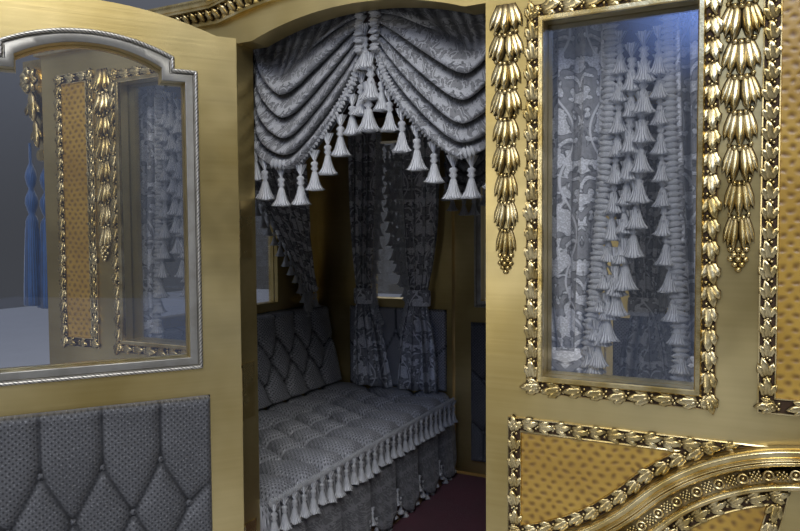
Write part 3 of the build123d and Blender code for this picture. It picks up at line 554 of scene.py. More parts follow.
def silk_damask(name, width, length, ground_tone, shine):
    """Grey silk with leaves that shine against a duller ground, the shine painted as a lighter tone. Width
    and length are its repeat.
    """
    material, tree, surface = new_material(name)
    place = uv_place(tree)
    pattern = use_group(tree, "damask", {"Vector": place, "Width": width, "Length": length})
    leaves = pattern["Mask"]
    thread = use_group(tree, "weave", {"Vector": place, "Threads": 900.0})["Height"]
    cloud = cloudy(tree, place, 90.0, 0.30)
    low, high = ground_tone * 0.75, ground_tone * 1.25
    ground = tree.blend(cloud, grey(low), grey(high))
    edged = tree.blend(pattern["Outline"], ground, grey(low * 0.5, 1.04))
    tree.fill(surface, {
        # Painted sheen: the leaves take a lighter colour than the ground. The creases are painted dark as
        # shade.
        "Base Color": paint_crease_shade(tree, tree.blend(leaves, edged, grey(shine))),
        "Roughness": tree.lerp(leaves, 0.66, 0.38),
        "Sheen Weight": 0.3,
    })
    raised = tree.math("MULTIPLY_ADD", thread, 0.35, leaves)
    tree.feed(surface["Normal"], tree.bump(raised, 0.0006, 0.6))
    return material


def strand_silk(name, dark, bright, count):
    """Silk threads laid side by side, as in a tassel, a fringe or a ruched braid."""
    material, tree, surface = new_material(name)
    place = uv_place(tree)
    strands = use_group(tree, "strands", {"Vector": place, "Count": count})["Height"]
    stray = tree.noise(tree.scaled(place, (70, 8, 1)), 1.0, 2.0)
    tone = tree.math("MULTIPLY_ADD", stray, 0.7, tree.math("MULTIPLY", strands, 0.40))
    tree.fill(surface, {
        "Base Color": tree.blend(tree.step(tone, 0.2, 0.8), dark, bright),
        "Roughness": 0.48,
        "Sheen Weight": 0.35,
        "Normal": tree.bump(strands, 0.0008, 0.7),
    })
    return material


def cut_pile(name):
    """Burgundy carpet with short cut pile."""
    material, tree, surface = new_material(name)
    place = object_place(tree)
    pile = tree.noise(place, 900.0, 2.0)
    trodden = cloudy(tree, place, 6.0, 0.3)
    tone = tree.math("MULTIPLY_ADD", pile, 0.6, tree.math("MULTIPLY", trodden, 0.4))
    tree.fill(surface, {
        "Base Color": tree.blend(tone, (0.030, 0.003, 0.007, 1), (0.115, 0.010, 0.027, 1)),
        "Roughness": 0.95,
        "Sheen Weight": 0.05,
        "Normal": tree.bump(pile, 0.003, 0.9),
    })
    return material


# %% Hide, boards and iron
def lacquered_hide(name):
    """Lacquered hide stretched over the roof boards."""
    material, tree, surface = new_material(name)
    place = object_place(tree)
    pores = tree.noise(place, 320.0, 3.0)
    cloud = cloudy(tree, place, 3.0, 0.3)
    tree.fill(surface, {
        "Base Color": tree.blend(cloud, (0.045, 0.018, 0.016, 1), (0.085, 0.036, 0.030, 1)),
        "Roughness": tree.lerp(cloud, 0.44, 0.58),
        "Coat Weight": 0.3,
        "Coat Roughness": 0.35,
        "Normal": tree.bump(pores, 0.0008, 0.35),
    })
    return material


def oiled_boards(name):
    """Plain boards with their grain along the body."""
    material, tree, surface = new_material(name)
    place = object_place(tree)
    grain = tree.noise(tree.scaled(place, (2.5, 40, 40)), 1.0, 5.0, 0.6)
    tree.fill(surface, {
        "Base Color": tree.blend(grain, (0.13, 0.070, 0.030, 1), (0.36, 0.22, 0.11, 1)),
        "Roughness": tree.lerp(grain, 0.5, 0.7),
        "Normal": tree.bump(grain, 0.001, 0.4),
    })
    return material


def forged_iron(name):
    """Forged iron under black paint."""
    material, tree, surface = new_material(name)
    place = object_place(tree)
    beaten = tree.noise(place, 45.0, 2.0)
    tree.fill(surface, {
        "Base Color": tree.blend(beaten, (0.012, 0.012, 0.014, 1), (0.045, 0.044, 0.046, 1)),
        "Roughness": tree.lerp(beaten, 0.34, 0.55),
        "Normal": tree.bump(beaten, 0.002, 0.4),
    })
    return material


def pale_floor(name):
    material, tree, surface = new_material(name)
    speck = tree.noise(object_place(tree), 3.0, 4.0)
    tree.fill(surface, {
        "Base Color": tree.blend(speck, (0.44, 0.44, 0.45, 1), (0.50, 0.50, 0.51, 1)),
        "Roughness": 0.75,
    })
    return material


# %% All the finishes
GOLD = satin_gold("satin_gold")
GOLD_OPEN_DOOR = satin_gold("satin_gold_open_door", OPEN_ANGLE)
CARVING = carved_gold("carved_gold")
PLAIN_CARVING = carved_gold("carved_gold_plain", False)
AMBER = amber_lacquer("yellow_lacquer")
AMBER_OPEN_DOOR = amber_lacquer("yellow_lacquer_open_door", OPEN_ANGLE)
GLASS_PLATE = clear_glass("clear_glass")
# Its first colour is the painted shade of the silver's grooves.
SILVER = trim_metal("silvered_brass", (0.05, 0.045, 0.04, 1), (0.56, 0.53, 0.46, 1), 0.30)
BRASS = plain_metal("lacquered_brass", (0.50, 0.36, 0.13, 1), (0.78, 0.60, 0.26, 1), 0.22)
BAND = plain_metal("silver_band", (0.24, 0.225, 0.19, 1), (0.42, 0.40, 0.35, 1), 0.40)
# The door pads and the seats are one brocade in two tones: the doors' copy is much darker, as painted
# shade.
BROCADE = brocade("silver_brocade", tone=0.26)
DOOR_BROCADE_PAINTED_SHADE = brocade("silver_brocade_doors_painted_shade", tone=0.072)
DAMASK = silk_damask("grey_damask", width=0.20, length=0.20, ground_tone=0.30, shine=0.85)
FINE_DAMASK = silk_damask("fine_damask", width=0.085, length=0.11, ground_tone=0.16, shine=0.40)
GREY_SILK = strand_silk("grey_silk", (0.12, 0.12, 0.122, 1), (0.62, 0.62, 0.61, 1), 22)
BLUE_SILK = strand_silk("blue_silk", (0.003, 0.014, 0.05, 1), (0.012, 0.085, 0.26, 1), 22)
CARPET = cut_pile("burgundy_carpet")
HIDE = lacquered_hide("roof_leather")
BOARDS = oiled_boards("floor_boards")
IRON = forged_iron("black_iron")
floor.data.materials.append(pale_floor("pale_floor"))

NODE_FINISH = {
    GOLD: ["quarter_near_right", "quarter_near_left", "quarter_far_left", "quarter_far_right",
           "header_near", "header_far", "sills", "end_wall_right", "end_wall_left", "door_far_frame"],
    GOLD_OPEN_DOOR: ["door_near_frame"],
    AMBER: ["yellow_panels", "door_far_panel"],
    AMBER_OPEN_DOOR: ["door_near_panel"],
    PLAIN_CARVING: ["cornice", "consoles"],
    GLASS_PLATE: ["quarter_glass", "end_glass", "door_near_glass", "door_far_glass"],
    BRASS: ["hinge_pins", "door_near_hinges", "door_far_hinges", "door_near_handle", "door_far_handle"],
    CARPET: ["carpet"],
    HIDE: ["roof"],
    BOARDS: ["floor_frame", "seat_box_right", "seat_box_left"],
    IRON: ["body_loops"],
}
for finish, nodes in NODE_FINISH.items():
    for node in nodes:
        frame["nodes"][node].data.materials.clear()
        frame["nodes"][node].data.materials.append(finish)
print("finishes", len(bpy.data.materials))

# %% [markdown]
# ## Making and copying pieces
# A piece is built once from arrays of points, often lying flat with its relief along Z, then stood
# on the wall and copied to the other quarters. Copying by a matrix keeps its UV map and attributes.


# %% Mesh helpers
def grid_faces(rows, columns, closed=False):
    """Quads of a grid of points, row by row. Closed joins the last column to the first."""
    faces = []
    for i in range(rows - 1):
        for j in range(columns if closed else columns - 1):
            k = (j + 1) % columns
            faces.append((i * columns + j, i * columns + k, (i + 1) * columns + k, (i + 1) * columns + j))
    return faces


def mend(mesh, merge=False, fill=False):
    """Turns a mesh's faces outwards, once its doubles are merged or its holes filled where asked."""
    work = bmesh.new()
    work.from_mesh(mesh)
    if merge:
        bmesh.ops.remove_doubles(work, verts=work.verts, dist=1e-6)
    if fill:
        bmesh.ops.holes_fill(work, edges=work.edges)
    bmesh.ops.recalc_face_normals(work, faces=work.faces)
    work.to_mesh(mesh)
    work.free()


def move(piece, place):
    """Moves a piece's mesh by a matrix and keeps it right side out, also where the matrix mirrors it."""
    piece.data.transform(place)
    if place.determinant() < 0:
        piece.data.flip_normals()


def make_piece(name, points, faces, material, uv=None, relief=None, close=False):
    """A smooth-shaded mesh object from arrays, with a UV map and the relief attribute."""
    points = np.asarray(points, float).reshape(-1, 3)
    mesh = bpy.data.meshes.new(name)
    mesh.from_pydata(points.tolist(), [], faces)
    corners = np.empty(len(mesh.loops), int)
    mesh.loops.foreach_get("vertex_index", corners)
    if uv is not None:
        layer = mesh.uv_layers.new(name="UVMap")
        layer.data.foreach_set("uv", np.asarray(uv, float).reshape(-1, 2)[corners].ravel())
    if relief is not None:
        attribute = mesh.attributes.new("relief", "FLOAT", "POINT")
        attribute.data.foreach_set("value", np.broadcast_to(np.asarray(relief, float).ravel(), len(points)))
    if close:
        mend(mesh, fill=True)
    mesh.shade_smooth()
    mesh.materials.append(material)
    return new_object(name, mesh)


def join_all(name, objects):
    """One object from several, with their materials and attributes."""
    if len(objects) > 1:
        with bpy.context.temp_override(active_object=objects[0], object=objects[0],
                                       selected_editable_objects=objects, selected_objects=objects):
            bpy.ops.object.join()
    objects[0].name = name
    objects[0].data.name = name
    return objects[0]


def copy_to(name, source, places, keep=False):
    """Copies of a piece at several places, joined into one. The piece itself goes unless it is kept."""
    copies = []
    for place in places:
        copies.append(new_object(name, source.data.copy()))
        move(copies[-1], place)
    if not keep:
        bpy.data.objects.remove(source)
    return join_all(name, copies)


def dress(piece, body, slot, *nodes):
    """Attaches a finished piece to the body it rides on and hides the nodes that it stands for. slot is not
    used.
    """
    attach(piece, body)
    if nodes:
        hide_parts(*nodes)
    return piece


# %% [markdown]
# ## Repeating a unit with Geometry Nodes
# Carving, tassels and braid are all the same idea: a small unit, set out along a line. One tree
# does it. It resamples the line at the pitch, turns each unit to follow it, varies its size a
# little from a fixed seed, and realizes the copies so that they can be exported.


# %% Geometry Nodes tree: units along a line
LINE_INPUTS = {"Line": "Geometry", "Unit": "Object", "Pitch": "Float", "Size": "Float",
               "Unevenness": "Float", "Swing": "Float", "Follow": "Bool", "Seed": "Int",
               "Finish": "Material"}

units_tree = bpy.data.node_groups.new("units_along_line", "GeometryNodeTree")
for label, kind in LINE_INPUTS.items():
    units_tree.interface.new_socket(label, in_out="INPUT", socket_type="NodeSocket" + kind)
units_tree.interface.new_socket("Result", in_out="OUTPUT", socket_type="NodeSocketGeometry")
geo = Tree(units_tree)
given = geo.add("NodeGroupInput").outputs
resampled = geo.add("GeometryNodeResampleCurve", {
    "Curve": given["Line"], "Length": given["Pitch"]}, mode="LENGTH")
tangent = geo.add("GeometryNodeInputTangent").outputs["Tangent"]
turned = geo.add("FunctionNodeAlignRotationToVector", {"Vector": tangent}, axis="X", pivot_axis="Z")
low_swing = geo.add("ShaderNodeCombineXYZ", {"Z": geo.math("MULTIPLY", given["Swing"], -1.0)})
high_swing = geo.add("ShaderNodeCombineXYZ", {"Z": given["Swing"]})
swing = geo.add("FunctionNodeRandomValue", {
    "Seed": given["Seed"], 0: low_swing.outputs[0], 1: high_swing.outputs[0]}, data_type="FLOAT_VECTOR")
swing_rotation = geo.add("FunctionNodeEulerToRotation", {"Euler": swing.outputs[0]}).outputs[0]
followed = geo.add("FunctionNodeRotateRotation", {
    "Rotation": turned.outputs[0], "Rotate By": swing_rotation})
facing = geo.add("GeometryNodeSwitch", {
    "Switch": given["Follow"], "False": swing_rotation, "True": followed.outputs[0]}, input_type="ROTATION")
smallest = geo.math("SUBTRACT", given["Size"], geo.math("MULTIPLY", given["Size"], given["Unevenness"]))
size = geo.add("FunctionNodeRandomValue", {
    "Seed": given["Seed"], 2: smallest, 3: given["Size"]}, data_type="FLOAT")
unit = geo.add("GeometryNodeObjectInfo", {"Object": given["Unit"]})
placed = geo.add("GeometryNodeInstanceOnPoints", {
    "Points": resampled.outputs[0], "Instance": unit.outputs["Geometry"],
    "Rotation": facing.outputs[0], "Scale": size.outputs[1]})
realized = geo.add("GeometryNodeRealizeInstances", {"Geometry": placed.outputs[0]})
finished = geo.add("GeometryNodeSetMaterial", {
    "Geometry": realized.outputs[0], "Material": given["Finish"]})
geo.feed(geo.add("NodeGroupOutput").inputs["Result"], finished.outputs[0])


def units_along(name, lines, unit, finish, pitch, size=1.0, uneven=0.0, swing=0.0, follow=True, seed=1):
    """Copies of a unit along some lines of points, as one mesh."""
    data = bpy.data.curves.new(name, "CURVE")
    data.dimensions = "3D"
    for points in lines:
        spline = data.splines.new("POLY")
        spline.points.add(len(points) - 1)
        flat = np.ones((len(points), 4))
        flat[:, :3] = points
        spline.points.foreach_set("co", flat.ravel())
    line = new_object(name, data)
    modifier = line.modifiers.new("units", "NODES")
    modifier.node_group = units_tree
    values = {"Unit": unit, "Pitch": pitch, "Size": size, "Unevenness": uneven, "Swing": swing,
              "Follow": follow, "Seed": seed, "Finish": finish}
    for item in units_tree.interface.items_tree:
        if item.item_type == "SOCKET" and item.name in values:
            modifier[item.identifier] = values[item.name]
    bpy.context.view_layer.update()
    mesh = bpy.data.meshes.new_from_object(line.evaluated_get(bpy.context.evaluated_depsgraph_get()))
    bpy.data.objects.remove(line)
    mesh.name = name
    mesh.shade_smooth()
    return new_object(name, mesh)


# %% [markdown]
# ## Carved leaves and berries
# A carver cuts leaves as two rounded halves with a groove for the midrib, deep at the root and
# lifted at the tip. Here a leaf is a small grid whose height follows that section, closed against
# the ground, and a berry is a low round. The height becomes the relief, from which the gilding
# paints shade into the low places.


# %% Leaf and berry
LEAF_ACROSS = np.array([-1.0, -0.55, 0.0, 0.55, 1.0])
LEAF_SECTION = np.array([0.0, 1.0, 0.62, 1.0, 0.0])
LEAF_ALONG = np.array([0.0, 0.20, 0.38, 0.60, 0.80, 1.0])
LEAF_WIDTH = np.array([0.40, 0.95, 0.74, 1.0, 0.62, 0.06])
LEAF_HEIGHT = np.array([0.35, 0.66, 0.72, 0.95, 1.0, 0.50])
LEAF_RIM = list(range(5)) + [9, 14, 19, 24, 29] + [28, 27, 26, 25] + [20, 15, 10, 5]


def leaf(length, width, height, angle=0.0, place=(0, 0), curl=0.0,
         section=LEAF_SECTION, widths=LEAF_WIDTH, heights=LEAF_HEIGHT):
    """Points, faces and relief of one leaf that runs along X from place, turned by angle degrees."""
    along = np.repeat(LEAF_ALONG * length, 5)
    across = (widths[:, None] * LEAF_ACROSS[None, :] * width / 2).ravel()
    lift = (heights[:, None] * section[None, :]).ravel()
    across = across + curl * (along / length) ** 2
    c, s = math.cos(math.radians(angle)), math.sin(math.radians(angle))
    x, y = place[0] + along * c - across * s, place[1] + along * s + across * c
    faces = [face[::-1] for face in grid_faces(6, 5)] + [tuple(LEAF_RIM)]
    return np.stack([x, y, lift * height], 1), faces, lift


ROUND, LOW_ROUND = (6, 48, 90), (6, 58)     # rising angles of a berry's rings


def berry(radius, place=(0, 0), height=0.0, around=6, rings=ROUND):
    """Points, faces and relief of a half-round berry on the ground, or raised by height."""
    angles = np.linspace(0, 2 * math.pi, around, endpoint=False)
    points, lift = [], []
    for degrees in rings:
        tilt = math.radians(degrees)
        r, z = radius * max(math.cos(tilt), 0.08), height + radius * math.sin(tilt)
        points += [(place[0] + r * math.cos(a), place[1] + r * math.sin(a), z) for a in angles]
        lift += [0.15 + 0.85 * math.sin(tilt)] * around
    faces = grid_faces(len(rings), around, True)
    faces.append(tuple((len(rings) - 1) * around + k for k in range(around)))
    faces.append(tuple(range(around))[::-1])
    return np.array(points), faces, np.array(lift)


def merge_shapes(name, shapes, material=CARVING):
    """One object from several (points, faces, relief)."""
    points, faces, relief, start = [], [], [], 0
    for p, f, r in shapes:
        points.append(p)
        relief.append(np.broadcast_to(r, len(p)))
        faces += [tuple(i + start for i in face) for face in f]
        start += len(p)
    return make_piece(name, np.concatenate(points), faces, material, relief=np.concatenate(relief))


mm = 0.001
frame_unit = merge_shapes("frame_unit", [
    leaf(42 * mm, 20 * mm, 12 * mm, 9, (0, -2 * mm)),
    leaf(30 * mm, 17 * mm, 10 * mm, 30, (0, 2 * mm), -3 * mm),
    leaf(28 * mm, 17 * mm, 9 * mm, -34, (3 * mm, -2 * mm), 3 * mm),
    berry(4.4 * mm, (-4 * mm, 5.5 * mm), 1 * mm, 5, LOW_ROUND),
    berry(4.4 * mm, (-4.5 * mm, -5 * mm), 1 * mm, 5, LOW_ROUND),
    berry(3.4 * mm, (0, 0), 5 * mm, 5, LOW_ROUND),
])
rosette = merge_shapes("rosette", [leaf(13 * mm, 10 * mm, 9 * mm, 72 * k + 18) for k in range(5)]
                       + [berry(4.5 * mm, (0, 0), 4 * mm, 8)])
FRAME_PITCH = 37 * mm
print("triangles in a frame unit", sum(len(p.vertices) - 2 for p in frame_unit.data.polygons))

# %% [markdown]
# ## Frames round windows and panels
# Each frame is a moulding swept round an outline, with leaves carved over it. An outline is kept as
# a function of how far it is moved inwards, so every line of the moulding is an exact offset, also
# where two sides meet at a sharp tip. Its runs between corners are kept apart: the leaves are spread
# evenly along each run, and a rosette covers each corner.


# %% Outlines as functions
def rectangle(x0, x1, z0, z1):
    """A rectangle's runs, clockwise, as a function of how far it is moved inwards."""
    def runs(inset):
        left, right, foot, top = x0 + inset, x1 - inset, z0 + inset, z1 - inset
        return [[(left, foot)], [(left, top)], [(right, top)], [(right, foot)]]
    return runs


CRISP_ANGLE = 40        # edges sharper than this stay crisp, though the moulding is smooth-shaded


def sweep_outline(name, runs, section):
    """A moulding round an outline. The section's rows are distance inwards, height and relief."""
    loops = []
    for inset, height, _ in section:
        loop = np.array([p for run in runs(inset) for p in run])
        loops.append(np.column_stack([loop, np.full(len(loop), height)]))
    grid = np.stack(loops)
    faces = grid_faces(len(section), grid.shape[1], True)
    ring = grid.shape[1]
    last = (len(section) - 1) * ring
    faces += [(k, last + k, last + (k + 1) % ring, (k + 1) % ring) for k in range(ring)]
    relief = np.repeat([row[2] for row in section], ring)
    moulding = make_piece(name, grid, faces, CARVING, relief=relief, close=True)
    moulding.data.set_sharp_from_angle(angle=math.radians(CRISP_ANGLE))
    return moulding


def trimmed(line, margin):
    """A line with a stretch cut off at both ends."""
    line = np.asarray(line, float)
    run = np.concatenate([[0], np.cumsum(np.linalg.norm(np.diff(line, axis=0), axis=1))])
    keep = np.linspace(margin, run[-1] - margin, max(2, int(run[-1] / (8 * mm))))
    return np.stack([np.interp(keep, run, line[:, i]) for i in range(line.shape[1])], 1)


# In the sections of carving the relief sets the gilding's painted shade: low relief is painted dark brown.
WINDOW_SECTION = [
    # distance out from the glass, height, relief
    (0 * mm, 0 * mm, 0.6),
    (0 * mm, 9 * mm, 1.0),
    (2 * mm, 11 * mm, 1.0),
    (9 * mm, 11 * mm, 1.0),
    (12 * mm, 8 * mm, 0.8),
    (13 * mm, 3 * mm, 0.0),
    (32 * mm, 3 * mm, 0.0),
    (33 * mm, 4 * mm, 0.5),
    (34 * mm, 3 * mm, 0.5),
    (34 * mm, 0 * mm, 0.4),
]
PANEL_SECTION = [
    # distance in from the frame's outer edge, height, relief
    (0 * mm, 0 * mm, 0.4),
    (0 * mm, 4 * mm, 0.8),
    (2 * mm, 5 * mm, 0.9),
    (3 * mm, 2 * mm, 0.0),
    (24 * mm, 2 * mm, 0.0),
    (25 * mm, 5 * mm, 0.8),
    (27 * mm, 6 * mm, 1.0),
    (28 * mm, 4 * mm, 0.8),
    (28 * mm, 0 * mm, 0.4),
]
SHARP_TIP = 2.2     # a corner this much longer than the band's middle gets one more leaf
TIP_START, TIP_SIZE = 0.24, 0.66    # share of the way to the tip, and size beside the other leaves
ROSETTE_ROOM = 17 * mm


def carved_frame(name, runs, section, middle, size, seed, outwards=False):
    """A moulding with leaves along its sunk ground and a rosette at each corner."""
    sign = -1 if outwards else 1
    moulding = sweep_outline(name, runs, [(sign * inset, high, lift) for inset, high, lift in section])
    centre = runs(sign * middle)
    corners = [run[0] for run in centre]
    lines = []
    for k, run in enumerate(centre):
        line = trimmed(list(run) + [corners[(k + 1) % len(corners)]], ROSETTE_ROOM * size)
        lines.append(np.column_stack([line, np.full(len(line), 2 * mm)]))
    leaves = units_along(name + "_leaves", lines, frame_unit, CARVING, FRAME_PITCH * size,
                         size, uneven=0.12, swing=math.radians(8), seed=seed)
    places = [Matrix.Translation((x, z, 2 * mm)) @ Matrix.Scale(size, 4) for x, z in corners]
    parts = [moulding, leaves, copy_to(name + "_rosettes", rosette, places, keep=True)]
    tips = []
    for start, run in zip(corners, runs(0)):
        reach = Vector(run[0]) - Vector(start)
        if reach.length > SHARP_TIP * middle:
            x, z = Vector(start) + reach * TIP_START
            turn = Matrix.Rotation(math.atan2(reach.y, reach.x), 4, "Z")
            tips.append(Matrix.Translation((x, z, 2 * mm)) @ turn @ Matrix.Scale(TIP_SIZE * size, 4))
    if tips:
        parts.append(copy_to(name + "_tips", frame_unit, tips, keep=True))
    return join_all(name, parts)


WINDOW_LEAVES = (22.5 * mm, 0.98)
window_frame = carved_frame("window_frame", rectangle(*GLASS), WINDOW_SECTION, *WINDOW_LEAVES, seed=11,
                            outwards=True)
window_frame.data.transform(ON_WALL)

# %% End windows
end_pane_low, end_pane_high = part_box("end_glass", lambda x, y, z: x > 0)
END_GLASS = (end_pane_low.y + PANE_LAP, end_pane_high.y - PANE_LAP, GLASS[2], GLASS[3])
end_frame = carved_frame("end_frame", rectangle(*END_GLASS), WINDOW_SECTION, *WINDOW_LEAVES, seed=12,
                         outwards=True)
TO_END = Matrix.Rotation(math.pi / 2, 4, "Z")
ON_END = TO_END @ Matrix.Translation((0, -END_X, 0)) @ UPRIGHT
end_frame.data.transform(ON_END)
end_frames = copy_to("end_frames", end_frame, SIDES)
window_frames = copy_to("window_frames_carved", window_frame, QUARTERS)
all_frames = join_all("window_frames_carved", [window_frames, end_frames])
dress(all_frames, "coach_body", "carved_gold", "window_frames")
print("window frames done")

# %% [markdown]
# ## The S-shaped moulding
# This is the boldest line on the side: two arcs that meet at a knee, level at the end of the body
# and dipping towards the door. Reeds run along its upper edge, ringed bosses along its middle and a
# lip along its foot. Its two arcs are offset exactly, because a sweep by mitres would bunch there.

# %% Arcs of the S
KNEE = Vector((PILLAR_X + 0.312, 0.555))
KNEE_SLOPE = 46
FOOT_R, FOOT_SLOPE = 0.484, 15
HEAD_R = 0.367
ARC_STEPS = 26


def scroll_point(slope, off, head):
    """Point beside the centre line of the S, where that line has the given slope in degrees."""
    s, c = math.sin(math.radians(slope)), math.cos(math.radians(slope))
    ks, kc = math.sin(math.radians(KNEE_SLOPE)), math.cos(math.radians(KNEE_SLOPE))
    if head:
        cx, cz, r = KNEE.x + HEAD_R * ks, KNEE.y - HEAD_R * kc, HEAD_R + off
        return (cx - r * s, cz + r * c)
    cx, cz, r = KNEE.x - FOOT_R * ks, KNEE.y + FOOT_R * kc, FOOT_R - off
    return (cx + r * s, cz - r * c)


def scroll_line(off):
    """Line beside the S from its foot to its level end."""
    foot = [scroll_point(a, off, False) for a in np.linspace(FOOT_SLOPE, KNEE_SLOPE, ARC_STEPS)]
    head = [scroll_point(a, off, True) for a in np.linspace(KNEE_SLOPE, 0, ARC_STEPS)]
    return np.array(foot[:-1] + head)


def reed(low, high, height, base):
    """Half-round reed of a section, from one offset to another, on a ground."""
    mid, half = (low + high) / 2, (high - low) / 2
    rise = height - base
    return [(mid + half * math.cos(a), base + rise * math.sin(a), 0.35 + 0.65 * math.sin(a))
            for a in np.linspace(math.pi, 0, 6)]


S_SECTION = (     # distance over the middle line, height, relief
    [(-35, 0, 0.3), (-35, 19, 0.6), (-33, 25, 0.85), (-29, 27, 1.0), (-25, 25, 0.9), (-22, 17, 0.6),
     (-21, 11, 0.36), (0, 11, 0.36), (2, 14, 0.5), (5, 19, 0.75), (9, 22, 0.8)]
    + reed(10, 14, 27, 22) + reed(14.5, 18.5, 29, 23)
    + [(20, 25, 0.6), (24, 28, 0.9), (28, 30, 1.0), (32, 29, 0.95), (35, 24, 0.8), (35, 0, 0.3)]
)
rows = []
for off, height, lift in S_SECTION:
    line = scroll_line(off * mm)
    rows.append(np.column_stack([line, np.full(len(line), height * mm)]))
grid = np.stack(rows, 1)
s_body = make_piece("s_body", grid, grid_faces(len(grid), len(S_SECTION)), CARVING,
                    relief=np.tile([row[2] for row in S_SECTION], len(grid)), close=True)


# %% Bosses and volutes of the S
def turned_unit(profile, around):
    """Points, faces and relief of a round unit from rows of radius, height and relief."""
    angles = np.linspace(0, 2 * math.pi, around, endpoint=False)
    points = [(r * math.cos(a), r * math.sin(a), h) for r, h, _ in profile for a in angles]
    relief = np.repeat([row[2] for row in profile], around)
    faces = grid_faces(len(profile), around, True)
    faces.append(tuple((len(profile) - 1) * around + k for k in range(around)))
    return np.array(points), faces, relief


BOSS_PITCH, BOSS_LINE, BOSS_GROUND = 39.5 * mm, -10 * mm, 11 * mm
BOSS_PROFILE = [
    # radius, height, relief
    (9.4, 0, 0.1), (9.4, 5, 0.7), (8.4, 8, 1.0), (6.6, 7.5, 0.8), (5.2, 3, 0.05), (3.9, 3, 0.05),
    (3.2, 6, 0.9), (1.6, 7.6, 1.0), (0.4, 8, 1.0),
]
GRAIN_ROWS = {      # distance past the boss: places of the grains across
    13: (-6.5, 0, 6.5), 16.4: (-3.4, 3.4), 19.8: (-7, 0, 7), 23.2: (-3.4, 3.4), 26.6: (-6.5, 0, 6.5)}
boss = merge_shapes("boss", [
    turned_unit([(r * mm, h * mm, lift) for r, h, lift in BOSS_PROFILE], 14),
] + [
    berry(2.7 * mm, (x * mm, y * mm), 2.5 * mm, 5, LOW_ROUND) for x, row in GRAIN_ROWS.items() for y in row
])
boss_line = scroll_line(BOSS_LINE)
boss_path = np.column_stack([boss_line, np.full(len(boss_line), BOSS_GROUND)])
bosses = units_along("bosses", [boss_path], boss, CARVING, BOSS_PITCH, seed=3)


def volute(place, radius, turns, way, height):
    """A scroll: a round ridge on a spiral that ends in an eye, on a round ground."""
    steps, around = 46, 8
    points, relief = [], []
    for i in range(steps):
        share = i / (steps - 1)
        r = radius * (1 - 0.78 * share)
        angle = way * share * turns * 2 * math.pi + math.pi / 2
        thick = radius * (0.24 - 0.10 * share)
        centre = np.array([place[0] + r * math.cos(angle), place[1] + r * math.sin(angle)])
        out = np.array([math.cos(angle), math.sin(angle)])
        for k in range(around):
            a = 2 * math.pi * k / around
            flat = centre + out * thick * math.cos(a)
            points.append((flat[0], flat[1], height + thick * math.sin(a) + radius * 0.18 * share))
            relief.append(0.35 + 0.65 * max(0.0, math.sin(a)))
    spiral = (np.array(points), grid_faces(steps, around, True), np.array(relief))
    rim = radius * 1.05
    ground = turned_unit([(rim, 0, 0.2), (rim, height, 0.3), (radius * 0.02, height, 0.1)], 28)
    ground[0][:, :2] += place
    eye = berry(radius * 0.26, place, height)
    return [spiral, ground, eye]


VOLUTE_R, VOLUTE_TURNS, VOLUTE_GROUND = 31 * mm, 1.6, 18 * mm
s_volutes = merge_shapes("s_volutes", [
    shape for place, way in ((scroll_point(FOOT_SLOPE, 0, False), 1), (scroll_point(0, 0, True), -1))
    for shape in volute(place, VOLUTE_R, VOLUTE_TURNS, way, VOLUTE_GROUND)])
s_moulding = join_all("s_moulding", [s_body, bosses, s_volutes])
s_moulding.data.transform(ON_WALL)
dress(copy_to("s_mouldings_carved", s_moulding, QUARTERS), "coach_body", "carved_gold", "s_mouldings")

# %% [markdown]
# ## Panel frames
# The narrow panel's frame is a plain rectangle. The upper and lower frames share one long side with
# the S, so that side is an offset of the S itself, and the lower frame also follows the curved end
# of the body. Each corner is found where two sides meet, at every depth of the moulding.

# %% Outlines of the three panel frames
panel_low, panel_high = part_box("panel_frames", lambda x, y, z: x > PILLAR_X and y < 0 and z > 0.72)
NARROW = (panel_low.x, panel_high.x, panel_low.z, panel_high.z)
lower_low, lower_high = part_box("panel_frames", lambda x, y, z: x > 0 and y < 0 and z < 0.70)
PANEL_X, UPPER_TOP = lower_low.x, lower_high.z
SCROLL_HALF = 35 * mm
ELBOW_Z = 0.700
FLAT_HALF = 0.430
ELBOW_CX = (END_X ** 2 - FLAT_HALF ** 2 - ELBOW_Z ** 2) / (2 * (END_X - FLAT_HALF))
LOWER_REACH = END_X - ELBOW_CX - 0.150
ALONG_S = np.linspace(0, 2, 500)


def s_edge(off):
    """Line beside the S in fine steps: from its level foot over the knee to its level head."""
    places = [scroll_point(KNEE_SLOPE * min(t, 2 - t), off, t > 1) for t in ALONG_S]
    return np.array(places)


def stretch_of(line, start, end):
    """Points of a fine line between two shares of it."""
    keep = np.linspace(start, end, 30)
    return [(np.interp(t, ALONG_S, line[:, 0]), np.interp(t, ALONG_S, line[:, 1])) for t in keep]


def upper_runs(inset):
    left, top = PANEL_X + inset, UPPER_TOP - inset
    line = s_edge(SCROLL_HALF + inset)
    foot = stretch_of(line, np.interp(top, line[:, 1], ALONG_S), np.interp(left, line[:, 0], ALONG_S))
    return [[foot[-1]], [(left, top)], foot[:-1]]


def lower_runs(inset):
    left, reach = PANEL_X + inset, LOWER_REACH - inset
    line = s_edge(-SCROLL_HALF - inset)
    away = np.hypot(line[:, 0] - ELBOW_CX, line[:, 1] - ELBOW_Z)
    top = stretch_of(line, np.interp(left, line[:, 0], ALONG_S), np.interp(reach, away, ALONG_S))
    tip_angle = math.atan2(top[-1][1] - ELBOW_Z, top[-1][0] - ELBOW_CX)
    foot_angle = -math.acos((left - ELBOW_CX) / reach)
    rim = [(ELBOW_CX + reach * math.cos(a), ELBOW_Z + reach * math.sin(a))
           for a in np.linspace(tip_angle, foot_angle, 40)]
    return [[rim[-1]], top[:-1], rim[:-1]]


